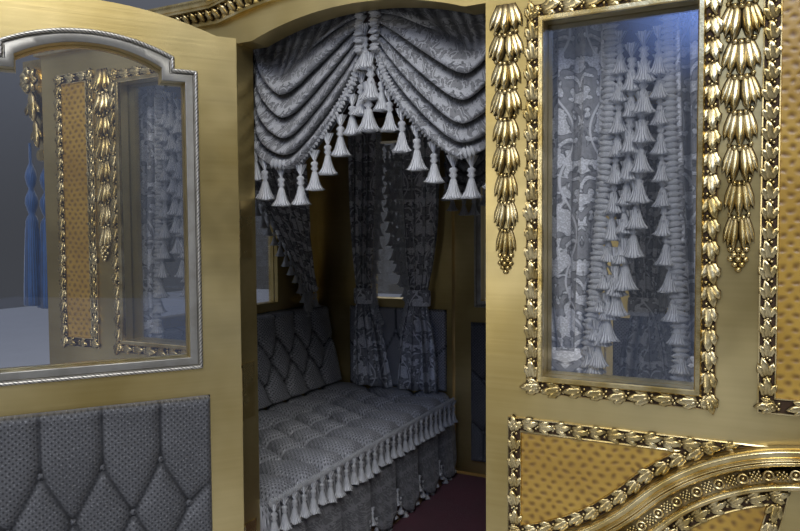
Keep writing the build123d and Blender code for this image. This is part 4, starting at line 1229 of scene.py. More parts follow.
PANEL_LEAVES = (13.5 * mm, 0.86)
PANELS = (("narrow", rectangle(*NARROW), 21), ("upper", upper_runs, 22), ("lower", lower_runs, 23))
panel_frames = [carved_frame(f"frame_{name}", runs, PANEL_SECTION, *PANEL_LEAVES, seed)
                for name, runs, seed in PANELS]
near_frames = join_all("panel_frames_near_right", panel_frames)
near_frames.data.transform(ON_WALL)
dress(copy_to("panel_frames_carved", near_frames, QUARTERS), "coach_body", "carved_gold", "panel_frames")
print("panel frames done")

# %% [markdown]
# ## Leaves of the cornice and the consoles
# Upright leaves stand in the cove of the cornice, all the way round and over the arches. Each console
# carries three acanthus leaves down its front, the largest over its head. A leaf is shaped flat, then
# laid on the slope that it belongs to.


# %% Leaves laid on slopes
def lay(shape, origin, along, outward):
    """Lays a flat leaf on a slope of a plane: it runs along one direction and rises along another."""
    points, faces, relief = shape
    along, outward = Vector((0, *along)).normalized(), Vector((0, *outward)).normalized()
    across = outward.cross(along)
    base = np.array([along, across, outward])
    return points @ base + np.array([0, *origin]), faces, relief


COVE_FOOT, COVE_TOP = (9 * mm, 15 * mm), (29 * mm, 33 * mm)    # height over the eaves, distance out
COVE_PITCH, COVE_UNEVEN = 23 * mm, 0.05
cove_run = (COVE_TOP[0] - COVE_FOOT[0], COVE_TOP[1] - COVE_FOOT[1])
cove_shapes = [leaf(27 * mm, 21 * mm, 7 * mm), berry(3.2 * mm, (21 * mm, 11 * mm), 2 * mm, 5, LOW_ROUND)]
cove_leaf = merge_shapes("cove_leaf", [
    lay(shape, COVE_FOOT, cove_run, (-cove_run[1], cove_run[0])) for shape in cove_shapes])
ARCH_HALF, ARCH_RISE = 0.352, 0.042
ARCH_R = (ARCH_HALF ** 2 + ARCH_RISE ** 2) / (2 * ARCH_RISE)
arch_turn = math.asin(ARCH_HALF / ARCH_R)
arch_line = [(ARCH_R * math.sin(a), EAVES_Z + ARCH_RISE - ARCH_R * (1 - math.cos(a)), 0)
             for a in np.linspace(-arch_turn * 0.97, arch_turn * 0.97, 40)]
side_line = [(x, EAVES_Z, 0) for x in np.linspace(ARCH_HALF + 14 * mm, END_X + 8 * mm, 20)]
side_mirror = [(-x, z, h) for x, z, h in side_line[::-1]]
side_row = units_along("cornice_side", [arch_line, side_line, side_mirror], cove_leaf, CARVING,
                       COVE_PITCH, uneven=COVE_UNEVEN, seed=41)
side_row.data.transform(ON_WALL)
end_line = [(x, EAVES_Z, 0) for x in np.linspace(-WALL_Y - 8 * mm, WALL_Y + 8 * mm, 40)]
end_row = units_along("cornice_end", [end_line], cove_leaf, CARVING,
                      COVE_PITCH, uneven=COVE_UNEVEN, seed=42)
end_row.data.transform(ON_END)
cornice_row = join_all("cornice_row", [side_row, end_row])
dress(copy_to("cornice_leaves", cornice_row, SIDES), "coach_body", "carved_gold")

ACANTHUS = [
    # length, width, height, angle, place of the root along and across, in mm and degrees
    (92, 34, 15, 0, 0, 0), (40, 22, 10, 42, 10, 7), (40, 22, 10, -42, 10, -7), (38, 20, 10, 36, 32, 8),
    (38, 20, 10, -36, 32, -8), (30, 17, 9, 30, 54, 7), (30, 17, 9, -30, 54, -7),
]
console_low, console_high = part_box("consoles", near_right)
console_tall = console_high.z - console_low.z
CONSOLE_FRONT = [
    # where a leaf starts: share of the height, share of the depth, its run down and out, size
    (0.96, 0.97, (-1.0, -0.15), 1.0), (0.65, 0.72, (-1.0, -0.30), 0.85), (0.39, 0.48, (-1.0, -0.14), 0.72),
]
console_leaves = []
for share, out, run, size in CONSOLE_FRONT:
    origin = (console_low.z + share * console_tall, out * (console_high.x - END_X))
    for row in ACANTHUS:
        long, wide, high = (v * size * mm for v in row[:3])
        flat_leaf = leaf(long, wide, high, row[3], (row[4] * size * mm, row[5] * size * mm))
        console_leaves.append(lay(flat_leaf, origin, run, (run[1], -run[0])))
front_carving = merge_shapes("front_carving", console_leaves)
console_y = (console_low.y + console_high.y) / 2
front_carving.data.transform(TO_END @ Matrix.Translation((console_y, -END_X, 0)) @ UPRIGHT)

CONSOLE_HEAD = (52, 227)
CONSOLE_SIDE = [
    # length, width, height, angle, place of the root out from the end and up from the foot
    *[(37, 25, 10, 51 * k + 30, CONSOLE_HEAD) for k in range(7)],
    (84, 34, 13, -99, (44, 192)), (44, 20, 10, -62, (44, 168)), (44, 18, 10, -128, (34, 168)),
    (76, 26, 11, -98, (30, 112)), (36, 15, 8, -66, (29, 92)), (34, 13, 8, -126, (22, 92)),
]
side_shapes = [leaf(long * mm, wide * mm, high * mm, angle, (out * mm, up * mm))
               for long, wide, high, angle, (out, up) in CONSOLE_SIDE]
side_shapes.append(berry(13 * mm, (CONSOLE_HEAD[0] * mm, CONSOLE_HEAD[1] * mm), 5 * mm, 10))
side_carving = merge_shapes("side_carving", side_shapes)
side_carving.data.transform(Matrix.Translation((END_X, console_low.y, console_low.z)) @ UPRIGHT)
console_carving = join_all("console_carving", [front_carving, side_carving])
dress(copy_to("console_leaves", console_carving, QUARTERS), "coach_body", "carved_gold")

# %% [markdown]
# ## Husk garlands
# A garland is a string of husks. Each husk is a fan of pointed petals that overlap, the middle ones
# highest, over a row of berries. They grow smaller towards the foot and end in a bunch of berries.
# Two husks are carved here, one with three petals in front and one with two, and hung in turn.

# %% One husk and the string
HUSK_LONG = 60 * mm
PETAL_SECTION = np.array([0.0, 0.82, 1.0, 0.82, 0.0])
PETAL_WIDTH = np.array([0.72, 0.86, 0.96, 1.0, 0.72, 0.05])
PETAL_HEIGHT = np.array([0.34, 0.50, 0.66, 0.86, 1.0, 0.78])
HUSKS = {
    # petal: length, width, height, angle from straight down, place of its root across, in mm and degrees
    "husk_three": [(50, 17, 8, -22, -13), (50, 17, 8, 22, 13), (56, 22, 15, -12, -8), (56, 22, 15, 12, 8),
                   (61, 23, 23, 0, 0)],
    "husk_two": [(49, 17, 7, -25, -15), (49, 17, 7, 25, 15), (54, 19, 13, -17, -11), (54, 19, 13, 17, 11),
                 (60, 22, 22, -7, -6), (60, 22, 22, 7, 6)],
}


def husk(name, petals):
    """One husk hanging down from its top, with five berries under its petals."""
    shapes = [leaf(long * mm, wide * mm, high * mm, angle - 90, (root * mm, 0), 0,
                   PETAL_SECTION, PETAL_WIDTH, PETAL_HEIGHT) for long, wide, high, angle, root in petals]
    for across in (-20, -10, 0, 10, 20):
        low = (-62 + 0.018 * across ** 2) * mm
        shapes.append(berry(5.2 * mm, (across * mm, low), (8 - 0.016 * across ** 2) * mm, 7))
    return merge_shapes(name, shapes)


husks = [husk(name, petals) for name, petals in HUSKS.items()]
bunch = merge_shapes("bunch", [berry(5.4 * mm, (x * mm, y * mm), z * mm, 7) for x, y, z in (
    (-11, 1, 3), (0, 0, 8), (11, 1, 3), (-6, -8, 7), (6, -8, 7), (-11, -14, 3), (0, -15, 9), (10, -15, 3),
    (-5, -23, 5), (5, -23, 5), (0, -31, 3))])

GARLANDS = [
    # edge it hangs beside, distance from it, foot, size at the top and at the foot, husks
    (PILLAR_X, 0.041, 0.978, 1.00, 0.62, 9),
    (GLASS[1], 0.066, 0.991, 1.00, 0.66, 8),
]
GARLAND_TOP = 1.488
BUNCH_ROOM, BUNCH_SIZE = 30 * mm, 1.6
HUSK_OVERLAP = 1.08     # how much longer a husk is than its share of the string
strings = []
for edge, distance, foot, top_size, foot_size, count in GARLANDS:
    pitch = (GARLAND_TOP - foot - BUNCH_ROOM) / count
    x = edge + distance
    for i in range(count):
        size = top_size + (foot_size - top_size) * i / (count - 1)
        place = Matrix.Translation((x, GARLAND_TOP - i * pitch, 0))
        place @= Matrix.Diagonal((size, pitch / HUSK_LONG * HUSK_OVERLAP, size, 1))
        strings.append(copy_to("husk_copy", husks[i % 2], [place], keep=True))
    end = Matrix.Translation((x, GARLAND_TOP - count * pitch, 0))
    end @= Matrix.Scale(foot_size * BUNCH_SIZE, 4)
    strings.append(copy_to("bunch_copy", bunch, [end], keep=True))
garland = join_all("garland", strings)
garland.data.transform(ON_WALL)
dress(copy_to("garlands_carved", garland, QUARTERS), "coach_body", "carved_gold", "garlands")

# %% [markdown]
# ## Doors: carving, rope and silver band
# The outer face has a carved frame round the light and another round its panel. The inner face,
# which the open door shows, has a twisted silver rope and a flat silver band round the glass. The
# rope is a tube whose section has three lobes that turn as it runs.

# %% Outline of the door's light
DOOR_STILE = 0.112
LIGHT_HALF = PILLAR_X - 0.008 - DOOR_STILE
LIGHT_FOOT, LIGHT_SHOULDER, LIGHT_TOP = 0.783, 1.383, 1.446
LIGHT_STEP, LIGHT_STEP_UP = 0.048, 0.026


def arc_through(a, b, c, steps):
    """Points of the arc from a through b to c, b being the middle of an upright arch."""
    half, rise = abs(c[0] - a[0]) / 2, b[1] - a[1]
    radius = (half ** 2 + rise ** 2) / (2 * rise)
    turn = math.asin(half / radius)
    centre = (b[0], b[1] - radius)
    return [(centre[0] + radius * math.sin(t), centre[1] + radius * math.cos(t))
            for t in np.linspace(-turn, turn, steps)]


def light_runs(inset):
    """The light's outline moved inwards, or outwards where inset is negative, run clockwise."""
    half, shoulder, foot = LIGHT_HALF - inset, LIGHT_SHOULDER - inset, LIGHT_FOOT + inset
    inner = half - LIGHT_STEP
    rise = shoulder + LIGHT_STEP_UP
    arch = arc_through((-inner, rise), (0, LIGHT_TOP - inset), (inner, rise), 30)
    return [[(-half, foot)], [(-half, shoulder)], [(-inner, shoulder)], arch, [(inner, shoulder)],
            [(half, shoulder)], [(half, foot)]]


def offset_line(points, distance):
    """A closed flat line moved sideways, to the right of its run, with mitred corners."""
    run_in = points - np.roll(points, 1, 0)
    run_out = np.roll(points, -1, 0) - points
    run_in /= np.linalg.norm(run_in, axis=1)[:, None]
    run_out /= np.linalg.norm(run_out, axis=1)[:, None]
    side_in = np.stack([run_in[:, 1], -run_in[:, 0]], 1)
    side_out = np.stack([run_out[:, 1], -run_out[:, 0]], 1)
    mitre = side_in + side_out
    mitre /= np.maximum((mitre * side_in).sum(1), 0.55)[:, None]
    return points + mitre * distance


def resample(points, step):
    """The same closed line with a point about every step, corners kept."""
    out = []
    for a, b in zip(points, np.roll(points, -1, 0)):
        count = max(1, round(float(np.linalg.norm(b - a)) / step))
        out += [a + (b - a) * k / count for k in range(count)]
    return np.array(out)


def rope(name, line, radius, lobes, pitch, material):
    """A closed twisted rope along a flat line, its middle one radius above the ground."""
    line = resample(line, 3.1 * mm)
    around = 10
    gaps = np.linalg.norm(np.roll(line, -1, 0) - line, axis=1)
    run = np.concatenate([[0], np.cumsum(gaps)[:-1]])
    total = gaps.sum()
    turns = max(1, round(total / (pitch * lobes)))
    side = offset_line(line, 1.0) - line
    side /= np.linalg.norm(side, axis=1)[:, None]
    points, relief = [], []
    for centre, out, s in zip(line, side, run):
        for k in range(around):
            a = 2 * math.pi * k / around
            lobe = abs(math.cos(lobes / 2 * (a - 2 * math.pi * turns * s / total)))
            r = radius * (0.74 + 0.26 * lobe)
            flat = centre + out * r * math.cos(a)
            points.append((flat[0], flat[1], radius + r * math.sin(a)))
            relief.append(lobe)
    faces = grid_faces(len(line), around, True)
    last = (len(line) - 1) * around
    faces += [(last + k, last + (k + 1) % around, (k + 1) % around, k) for k in range(around)]
    made_rope = make_piece(name, points, faces, material, relief=relief)
    mend(made_rope.data)
    return made_rope


DOOR_T = 0.050
FACING_INWARDS = Matrix.Rotation(-math.pi / 2, 4, "X") @ Matrix.Scale(-1, 4, (0, 1, 0))
ON_DOOR_INSIDE = Matrix.Translation((0, -WALL_Y + DOOR_T, 0)) @ FACING_INWARDS
BAND_W = 27 * mm
ROPE_R = 4.6 * mm
rope_line = np.array([p for run in light_runs(ROPE_R - BAND_W) for p in run])
silver_rope = rope("rope", rope_line, ROPE_R, lobes=3, pitch=8.3 * mm, material=SILVER)
BAND_SECTION = [
    # distance out from the light, height, relief
    (0, 0, 1), (0, 3.5, 1), (1.5, 4.5, 1), (15, 4.5, 1), (17, 2.5, 0.1), (26, 2, 0.1), (26.5, 0, 0.1)]
band = sweep_outline("band", light_runs, [(-out * mm, high * mm, lift) for out, high, lift in BAND_SECTION])
band.data.materials[0] = BAND
sash = join_all("sash", [band, silver_rope])
sash.data.transform(ON_DOOR_INSIDE)
sash.data.flip_normals()

# %% Carving of the doors' outer faces
light_frame = carved_frame("light_frame", light_runs, WINDOW_SECTION, *WINDOW_LEAVES, seed=31,
                           outwards=True)
carve_low, carve_high = part_box("door_far_carving", lambda x, y, z: z < 0.70)
door_panel = rectangle(-carve_high.x, -carve_low.x, carve_low.z, carve_high.z)
door_panel_frame = carved_frame("door_panel_frame", door_panel, PANEL_SECTION, *PANEL_LEAVES, seed=32)
door_carving = join_all("door_carving", [light_frame, door_panel_frame])
door_carving.data.transform(ON_WALL)
for side, place in DOORS.items():
    door_sash = copy_to(f"door_{side}_sash_rope", sash, [place], keep=True)
    dress(door_sash, f"{side}_door", "silvered_brass", f"door_{side}_sash")
    door_carved = copy_to(f"door_{side}_carved", door_carving, [place], keep=True)
    dress(door_carved, f"{side}_door", "carved_gold", f"door_{side}_carving")
print("doors trimmed")

# %% [markdown]
# ## Buttoned upholstery
# In buttoned work the cover is pulled down at each button, and the slack is folded into creases
# that run from button to button, or straight to the edge. The height of the pad falls towards the
# nearest crease and further at each button, and small wrinkles fan out from it.


# %% Buttoned pad
def crease_distance(points, creases):
    """Distance from each point to the nearest crease."""
    best = np.full(len(points), 1e9)
    for a, b in creases:
        a, b = np.array(a), np.array(b)
        run = b - a
        share = np.clip(((points - a) @ run) / (run @ run), 0, 1)
        best = np.minimum(best, np.linalg.norm(points - (a + share[:, None] * run), axis=1))
    return best


FULL_EDGE = 28 * mm     # the creases reach their depth this far in from the pad's edge
BUTTON_DEPTH = 0.30     # share of the thickness that a button pulls down
WRINKLES, WRINKLE_REACH, WRINKLE_HIGH = 9, 34 * mm, 0.035


def buttoned(width, height, thick, buttons, creases, step, edges, depth, spread):
    """Grid of a buttoned pad: flat places, heights, relief, rows and columns. The relief is low in the
    creases and round the buttons, where the cover is painted dark as shade.

    The edges tell how far from its low and high side across, then along, the pad starts to fall. Depth
    is the share of the thickness that a crease takes, and spread is how wide it is.
    """
    columns, rows = round(width / step) + 1, round(height / step) + 1
    us, vs = np.linspace(0, width, columns), np.linspace(0, height, rows)
    u, v = (a.ravel() for a in np.meshgrid(us, vs))
    flat = np.stack([u, v], 1)
    inset = np.minimum.reduce([u / edges[0], (width - u) / edges[1], v / edges[2], (height - v) / edges[3]])
    rim = np.sqrt(1 - (1 - np.clip(inset, 0, 1)) ** 2)
    away_from_crease = crease_distance(flat, creases)
    from_edge = np.minimum.reduce([u, width - u, v, height - v])
    pulled = depth * np.clip(from_edge / FULL_EDGE, 0.3, 1)
    high = thick * (1 - pulled * np.exp(-away_from_crease / spread))
    # Painted shade: the relief falls in the creases, and the cloth's finish paints the cloth dark there.
    relief = 1 - 0.95 * np.exp(-(away_from_crease / (0.45 * spread)) ** 2)
    for b in buttons:
        away = flat - np.array(b)
        r = np.linalg.norm(away, axis=1)
        fan = np.cos(WRINKLES * np.arctan2(away[:, 1], away[:, 0])) * np.exp(-(r / WRINKLE_REACH) ** 2)
        high -= thick * BUTTON_DEPTH * np.exp(-(r / (17 * mm)) ** 2)
        high += thick * WRINKLE_HIGH * fan * (1 - np.exp(-(r / (9 * mm)) ** 2))
        # Painted shade round each button.
        relief -= 0.5 * np.exp(-(r / (13 * mm)) ** 2)
    return flat, np.maximum(high, thick * 0.12) * rim, np.clip(relief, 0, 1), rows, columns


EDGE_CLEAR = 0.03       # no button stands nearer to a side edge than this


def diamond_rows(width, height, first, across, down, start):
    """Buttons in staggered rows, and the creases that join them and run out to the edges.

    The first row is so far below the top, and the rows and the buttons in a row are so far apart.
    """
    buttons, creases, above = [], [], []
    v, index = height - first, 0
    while v > 0.04:
        shift = start + (across / 2 if index % 2 else 0)
        us = [u for u in np.arange(shift % across, width, across) if EDGE_CLEAR < u < width - EDGE_CLEAR]
        for u in us:
            buttons.append((u, v))
            if index == 0:
                creases.append(((u, v), (u, height)))
            for p in above:
                if abs(p[0] - u) < across * 0.6:
                    creases.append(((u, v), p))
            if u - across / 2 < EDGE_CLEAR and index > 0:
                creases.append(((u, v), (0, v + down / 2)))
            if u + across / 2 > width - EDGE_CLEAR and index > 0:
                creases.append(((u, v), (width, v + down / 2)))
        above = [(u, v) for u in us]
        v -= down
        index += 1
    creases += [((u, w), (u, 0)) for u, w in above]
    return buttons, creases


def height_at(flat, high, u, v):
    """Height of a pad at one place."""
    return float(high[np.argmin(np.abs(flat - np.array([u, v])).sum(1))])


BUTTON_R, BUTTON_SUNK = 10 * mm, 3 * mm


def pad_piece(name, width, height, thick, layout, place, step, edges, depth, spread,
              warp=None, cover=BROCADE):
    """A buttoned pad as a closed mesh, and its buttons as another, moved into place by a matrix."""
    buttons, creases = layout
    flat, high, relief, rows, columns = buttoned(
        width, height, thick, buttons, creases, step, edges, depth, spread)
    caps = merge_shapes(name + "_buttons", [
        berry(BUTTON_R, (u, v), height_at(flat, high, u, v) - BUTTON_SUNK) for u, v in buttons], cover)
    pad = make_piece(name, np.column_stack([flat, high]), grid_faces(rows, columns), cover,
                     uv=flat, relief=relief, close=True)
    for made_piece in (pad, caps):
        if warp is not None:
            for vertex in made_piece.data.vertices:
                vertex.co = warp(vertex.co)
        move(made_piece, place)
    layer = caps.data.uv_layers.new(name="UVMap")
    for loop in caps.data.loops:
        layer.data[loop.index].uv = caps.data.vertices[loop.vertex_index].co.xz
    return pad, caps


def upholster(name, ending, pad_and_caps, places, body, node):
    """Copies of a pad as one padded piece, and copies of its buttons as another."""
    pad, caps = pad_and_caps
    soft = dress(copy_to(f"{name}_{ending}", pad, places, keep=True), body, "silver_brocade", node)
    dress(copy_to(f"{name}_buttons", caps, places, keep=True), body, "silver_brocade")


# Turns a pad drawn flat: upright with its height inwards, and upright across the body
STOOD_ALONG = Matrix(((1, 0, 0, 0), (0, 0, 1, 0), (0, 1, 0, 0), (0, 0, 0, 1)))
STOOD_ACROSS = Matrix(((0, 0, -1, 0), (1, 0, 0, 0), (0, 1, 0, 0), (0, 0, 0, 1)))

# %% Door pads
pad_low, pad_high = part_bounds("door_far_pad")
PAD_W, PAD_H = pad_high.x - pad_low.x, pad_high.z - pad_low.z
PAD_T = pad_high.y - pad_low.y
door_layout = diamond_rows(PAD_W, PAD_H, first=0.129, across=0.116, down=0.105, start=PAD_W / 2 - 0.002)
ON_DOOR_PAD = Matrix.Translation((-PAD_W / 2, -WALL_Y + DOOR_T + 0.4 * mm, pad_low.z)) @ STOOD_ALONG
door_pad = pad_piece("door_pad", PAD_W, PAD_H, PAD_T, door_layout, ON_DOOR_PAD, step=5.5 * mm,
                     edges=[14 * mm] * 4, depth=0.62, spread=10 * mm, cover=DOOR_BROCADE_PAINTED_SHADE)
for side, place in DOORS.items():
    upholster(f"door_{side}", "padding", door_pad, [place], f"{side}_door", f"door_{side}_pad")

# %% Seat cushions, squabs and side pads
cushion_low, cushion_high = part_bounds("seat_cushion_right")
squab_low, squab_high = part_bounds("seat_back_right")
side_low, side_high = part_box("side_pads", near_right)
SEAT_Y = cushion_high.y
CUSHION_LEAN = 0.0685   # how much further back the cushion's top reaches than its foot
cushion_deep = cushion_high.x - cushion_low.x - CUSHION_LEAN
cushion_thick = cushion_high.z - cushion_low.z


def lean_back(co):
    """Slides the back of the cushion along the curved end of the body."""
    share = max(0.0, co.y / cushion_deep) ** 3
    return Vector((co.x, co.y + CUSHION_LEAN * share * co.z / cushion_thick, co.z))


ON_SEAT = Matrix.Translation((cushion_low.x, -SEAT_Y, cushion_low.z)) @ Matrix(
    ((0, 1, 0, 0), (1, 0, 0, 0), (0, 0, 1, 0), (0, 0, 0, 1)))
seat_layout = diamond_rows(2 * SEAT_Y, cushion_deep, first=0.085, across=0.126, down=0.100, start=SEAT_Y)
cushion = pad_piece("seat_cushion", 2 * SEAT_Y, cushion_deep, cushion_thick, seat_layout, ON_SEAT,
                    step=8 * mm, edges=[6 * mm, 6 * mm, 55 * mm, 6 * mm], depth=0.62, spread=14 * mm,
                    warp=lean_back)

squab_tall, squab_thick = squab_high.z - squab_low.z, 0.062
SQUAB_LEAN = 0.068
ELBOW_AT = ELBOW_Z - squab_low.z


def lean_squab(co):
    """Sets the squab on the slope of the end wall."""
    share = min(1.0, co.y / ELBOW_AT)
    return Vector((co.x, co.y, co.z - SQUAB_LEAN * share))


ON_BACK = Matrix.Translation((squab_high.x - SQUAB_LEAN, -SEAT_Y, squab_low.z)) @ STOOD_ACROSS
squab_layout = diamond_rows(2 * SEAT_Y, squab_tall, first=0.090, across=0.126, down=0.095, start=SEAT_Y)
squab = pad_piece("squab", 2 * SEAT_Y, squab_tall, squab_thick, squab_layout, ON_BACK, step=10 * mm,
                  edges=[8 * mm, 8 * mm, 6 * mm, 24 * mm], depth=0.56, spread=15 * mm, warp=lean_squab)
for side, place in (("right", Matrix()), ("left", TURN)):
    for made_pad, name, fill in ((cushion, f"seat_cushion_{side}", 0.8), (squab, f"seat_back_{side}", 0.6)):
        upholster(name, "soft", made_pad, [place], "coach_body", name)

side_wide, side_thick, side_tall = side_high - side_low
side_layout = diamond_rows(side_wide, side_tall, first=0.10, across=0.116, down=0.10, start=side_wide / 2)
ON_SIDE = Matrix.Translation(side_low) @ STOOD_ALONG
side_pad = pad_piece("side_pad", side_wide, side_tall, side_thick, side_layout, ON_SIDE, step=10 * mm,
                     edges=[12 * mm] * 4, depth=0.60, spread=12 * mm)
upholster("side_pads", "soft", side_pad, QUARTERS, "coach_body", "side_pads")
print("upholstery done")

# %% [markdown]
# ## A tassel
# Each tassel of the fringe hangs from a fan of loose strands, has a bound head, and opens into a
# skirt of threads. It is turned on one axis with a fluted skirt, in few faces, because it is
# repeated some hundreds of times. Its UV map counts the threads round it.


# %% Tassel unit
FOOT_UNEVEN = 1.6 * mm


def tassel_unit(name, profile, material, around, flute):
    """A hanging tassel from rows of height and radius, with flutes that deepen down the skirt."""
    points, uv = [], []
    for height, radius, fluted in profile:
        for k in range(around + 1):
            a = 2 * math.pi * k / around
            r = radius * (1 + flute * fluted * (1 if k % 2 else -1))
            uneven = FOOT_UNEVEN * (k * 3 % around % 4) if (height, radius) == profile[-1][:2] else 0
            points.append((r * math.cos(a), r * math.sin(a), height + uneven))
            uv.append((k / around, height * 4))
    faces = grid_faces(len(profile), around + 1)
    last = (len(profile) - 1) * (around + 1)
    faces.append(tuple(last + k for k in range(around)))
    unit_object = make_piece(name, points, faces, material, uv=uv)
    mend(unit_object.data, merge=True)
    unit_object.data.shade_smooth()
    return unit_object


FRINGE_PROFILE = [(h * mm, r * mm, f) for h, r, f in (
    (3, 12, 5), (-24, 2.5, 1), (-27, 7.5, 1.2), (-32, 9.5, 1.6), (-37, 6, 0.8), (-43, 9.5, 1.6),
    (-49, 4.5, 0.5), (-53, 7, 0.8), (-66, 10, 1.2), (-80, 14, 1.5), (-90, 19, 1.8), (-98, 24, 2.2))]
fringe_tassel = tassel_unit("fringe_tassel", FRINGE_PROFILE, GREY_SILK, around=12, flute=0.09)
ANY_WAY = 3.1       # radians by which a tassel may be turned, either way


def tassel_row(name, lines, pitch, size, uneven, seed):
    """Tassels that hang from some lines, each turned a way of its own."""
    return units_along(name, lines, fringe_tassel, GREY_SILK, pitch, size, uneven, ANY_WAY, False, seed)


# %% Ruched braid unit
RUCHE_LONG, RUCHE_WIDE, RUCHE_HIGH = 11 * mm, 24 * mm, 8 * mm


def ruche_unit(name, material):
    """One puff of a ruched braid: a low pillow across the braid, rounded on both faces."""
    rows, around = 4, 5
    points, uv = [], []
    for i in range(rows):
        share = i / (rows - 1) * 2 - 1
        swell = math.sqrt(max(0.0, 1 - abs(share) ** 3)) * 0.9 + 0.1
        for k in range(around):
            a = 2 * math.pi * k / around
            points.append((math.cos(a) * RUCHE_LONG / 2 * swell, share * RUCHE_WIDE / 2,
                           math.sin(a) * RUCHE_HIGH / 2 * swell))
            uv.append((k / around, share * 0.5))
    faces = grid_faces(rows, around, True)
    faces += [tuple(range(around)), tuple((rows - 1) * around + k for k in range(around))]
    return make_piece(name, points, faces, material, uv=uv, close=True)


ruche = ruche_unit("ruche", GREY_SILK)


def braid_row(name, lines, pitch, size, uneven, swing, seed):
    """Ruched braid along some lines, its puffs overlapping a little."""
    return units_along(name, lines, ruche, GREY_SILK, pitch, size, uneven, swing, True, seed)


# %% [markdown]
# ## Swags over the doorways
# A swag hangs from two points, and its cloth falls into folds that run from one to the other like
# nested garlands. Two lines drive it here: the upper fold and the hem. The cloth is drawn between
# them and its folds stand out in rolls, sharp between and round in front. Cloth simulation would
# take many tries to find these folds, so they are drawn instead.


# %% Smooth lines through points
def smooth_line(points, share):
    """Catmull-Rom line through points at shares from 0 to 1 of their count."""
    points = np.asarray(points, float)
    padded = np.concatenate([[2 * points[0] - points[1]], points, [2 * points[-1] - points[-2]]])
    place = np.clip(np.asarray(share) * (len(points) - 1), 0, len(points) - 1 - 1e-9)
    i = place.astype(int)
    t = (place - i)[:, None]
    p0, p1, p2, p3 = (padded[i + k] for k in range(4))
    second, third = 2 * p0 - 5 * p1 + 4 * p2 - p3, 3 * p1 - p0 - 3 * p2 + p3
    return 0.5 * (2 * p1 + (p2 - p0) * t + second * t ** 2 + third * t ** 3)


valance_low, valance_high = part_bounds("valance_near")
SWAG_BACK, SWAG_DEEP = valance_high.y, valance_high.y - valance_low.y
# Distance from the middle and height of points on the lines of the left swag, in mm
SWAG_HEAD_LINE = [(-326, 1566), (-12, 1566)]
SWAG_FOLD_LINE = [(-322, 1540), (-300, 1488), (-258, 1446), (-226, 1450), (-150, 1504), (-75, 1546),
                  (-12, 1560)]
SWAG_HEM_LINE = [(-326, 1290), (-306, 1244), (-240, 1212), (-190, 1222), (-110, 1290), (-46, 1372),
                 (-14, 1450)]
SWAG_FOLDS = 5
MIRROR_X = np.array([-1, 1, 1])
HEAD_ROWS, GATHERS = 7, 11


def swag_head(columns):
    """Grid and painted shade of the gathered cloth above the upper fold: dark, lighter on the gathers and
    darker towards the fold.
    """
    share = np.linspace(0, 1, columns)
    head = smooth_line(SWAG_HEAD_LINE, share) * mm
    fold_line = smooth_line(SWAG_FOLD_LINE, share) * mm
    down = np.linspace(0, 1, HEAD_ROWS, endpoint=False)[:, None]
    gather = np.sin(2 * math.pi * GATHERS * share + 2 * np.sin(5 * share))[None, :]
    flat = head[None] + (fold_line - head)[None] * down[:, :, None]
    out = (3 + 2.5 * gather * (1 - 0.5 * down)) * mm
    # Painted shade of the heading behind the swag.
    shade = np.clip(0.36 + 0.16 * gather - 0.10 * down, 0, 1)
    return np.stack([flat[:, :, 0], SWAG_BACK - out, flat[:, :, 1]], 2), shade


def swag_points(rows, columns):
    """Grid and painted shade of one swag, left of the middle, from the header down to the hem."""
    share = np.linspace(0, 1, columns)
    top = smooth_line(SWAG_FOLD_LINE, share) * mm
    hem = smooth_line(SWAG_HEM_LINE, share) * mm
    grid, shade = np.empty((rows, columns, 3)), np.empty((rows, columns))
    for i in range(rows):
        s = i / (rows - 1)
        flat = top + (hem - top) * s
        wander = 0.22 * np.sin(share * 5.1 + s * 4)
        phase = (SWAG_FOLDS * s + wander) % 1.0
        fold = np.sin(math.pi * phase ** 1.8) ** 0.7
        second = np.abs(np.sin(math.pi * (2.3 * SWAG_FOLDS * s + 2.1 * wander + 0.3)))
        gather = 0.42 + 0.58 * np.sin(math.pi * np.clip(share, 0.04, 0.93))
        ripple = 0.05 * np.sin(share * 60 + s * 9) * (1 - gather)
        out = (fold * gather * 0.74 + 0.06 * second + 0.08 * s + ripple + 0.03) * SWAG_DEEP
        grid[i, :, 0] = flat[:, 0]
        grid[i, :, 1] = SWAG_BACK - out
        grid[i, :, 2] = flat[:, 1] - 25 * mm * fold * gather * (1 - s ** 4)
        # Painted shade: the cloth is dark between the rolls and light on their fronts.
        shade[i] = np.clip(0.12 + 1.25 * fold ** 1.3, 0, 1)
    head, head_shade = swag_head(columns)
    return np.concatenate([head, grid]), np.concatenate([head_shade, shade])


def run_lengths(grid):
    """Running length along the rows and along the columns of a grid, for its UV map."""
    across = np.zeros(grid.shape[:2])
    across[:, 1:] = np.cumsum(np.linalg.norm(np.diff(grid, axis=1), axis=2), axis=1)
    down = np.zeros(grid.shape[:2])
    down[1:] = np.cumsum(np.linalg.norm(np.diff(grid, axis=0), axis=2), axis=0)
    return across, down


CLOTH_T = 1.2 * mm


def cloth_piece(name, grid, shade, material, place):
    """A sheet of cloth from a grid and its painted shade, carried as relief, with its thickness, and the
    size it was cut to.
    """
    across, down = run_lengths(grid)
    uv = np.stack([across, -down], 2)
    sheet = make_piece(name, grid, grid_faces(*grid.shape[:2]), material, uv=uv, relief=shade)
    solid = sheet.modifiers.new("thickness", "SOLIDIFY")
    solid.thickness = CLOTH_T
    solid.offset = 0
    with bpy.context.temp_override(object=sheet):
        bpy.ops.object.modifier_apply(modifier=solid.name)
    move(sheet, place)
    cut = (round(float(across[:, -1].mean()), 2), round(float(down[-1].mean()), 2))
    return sheet, cut


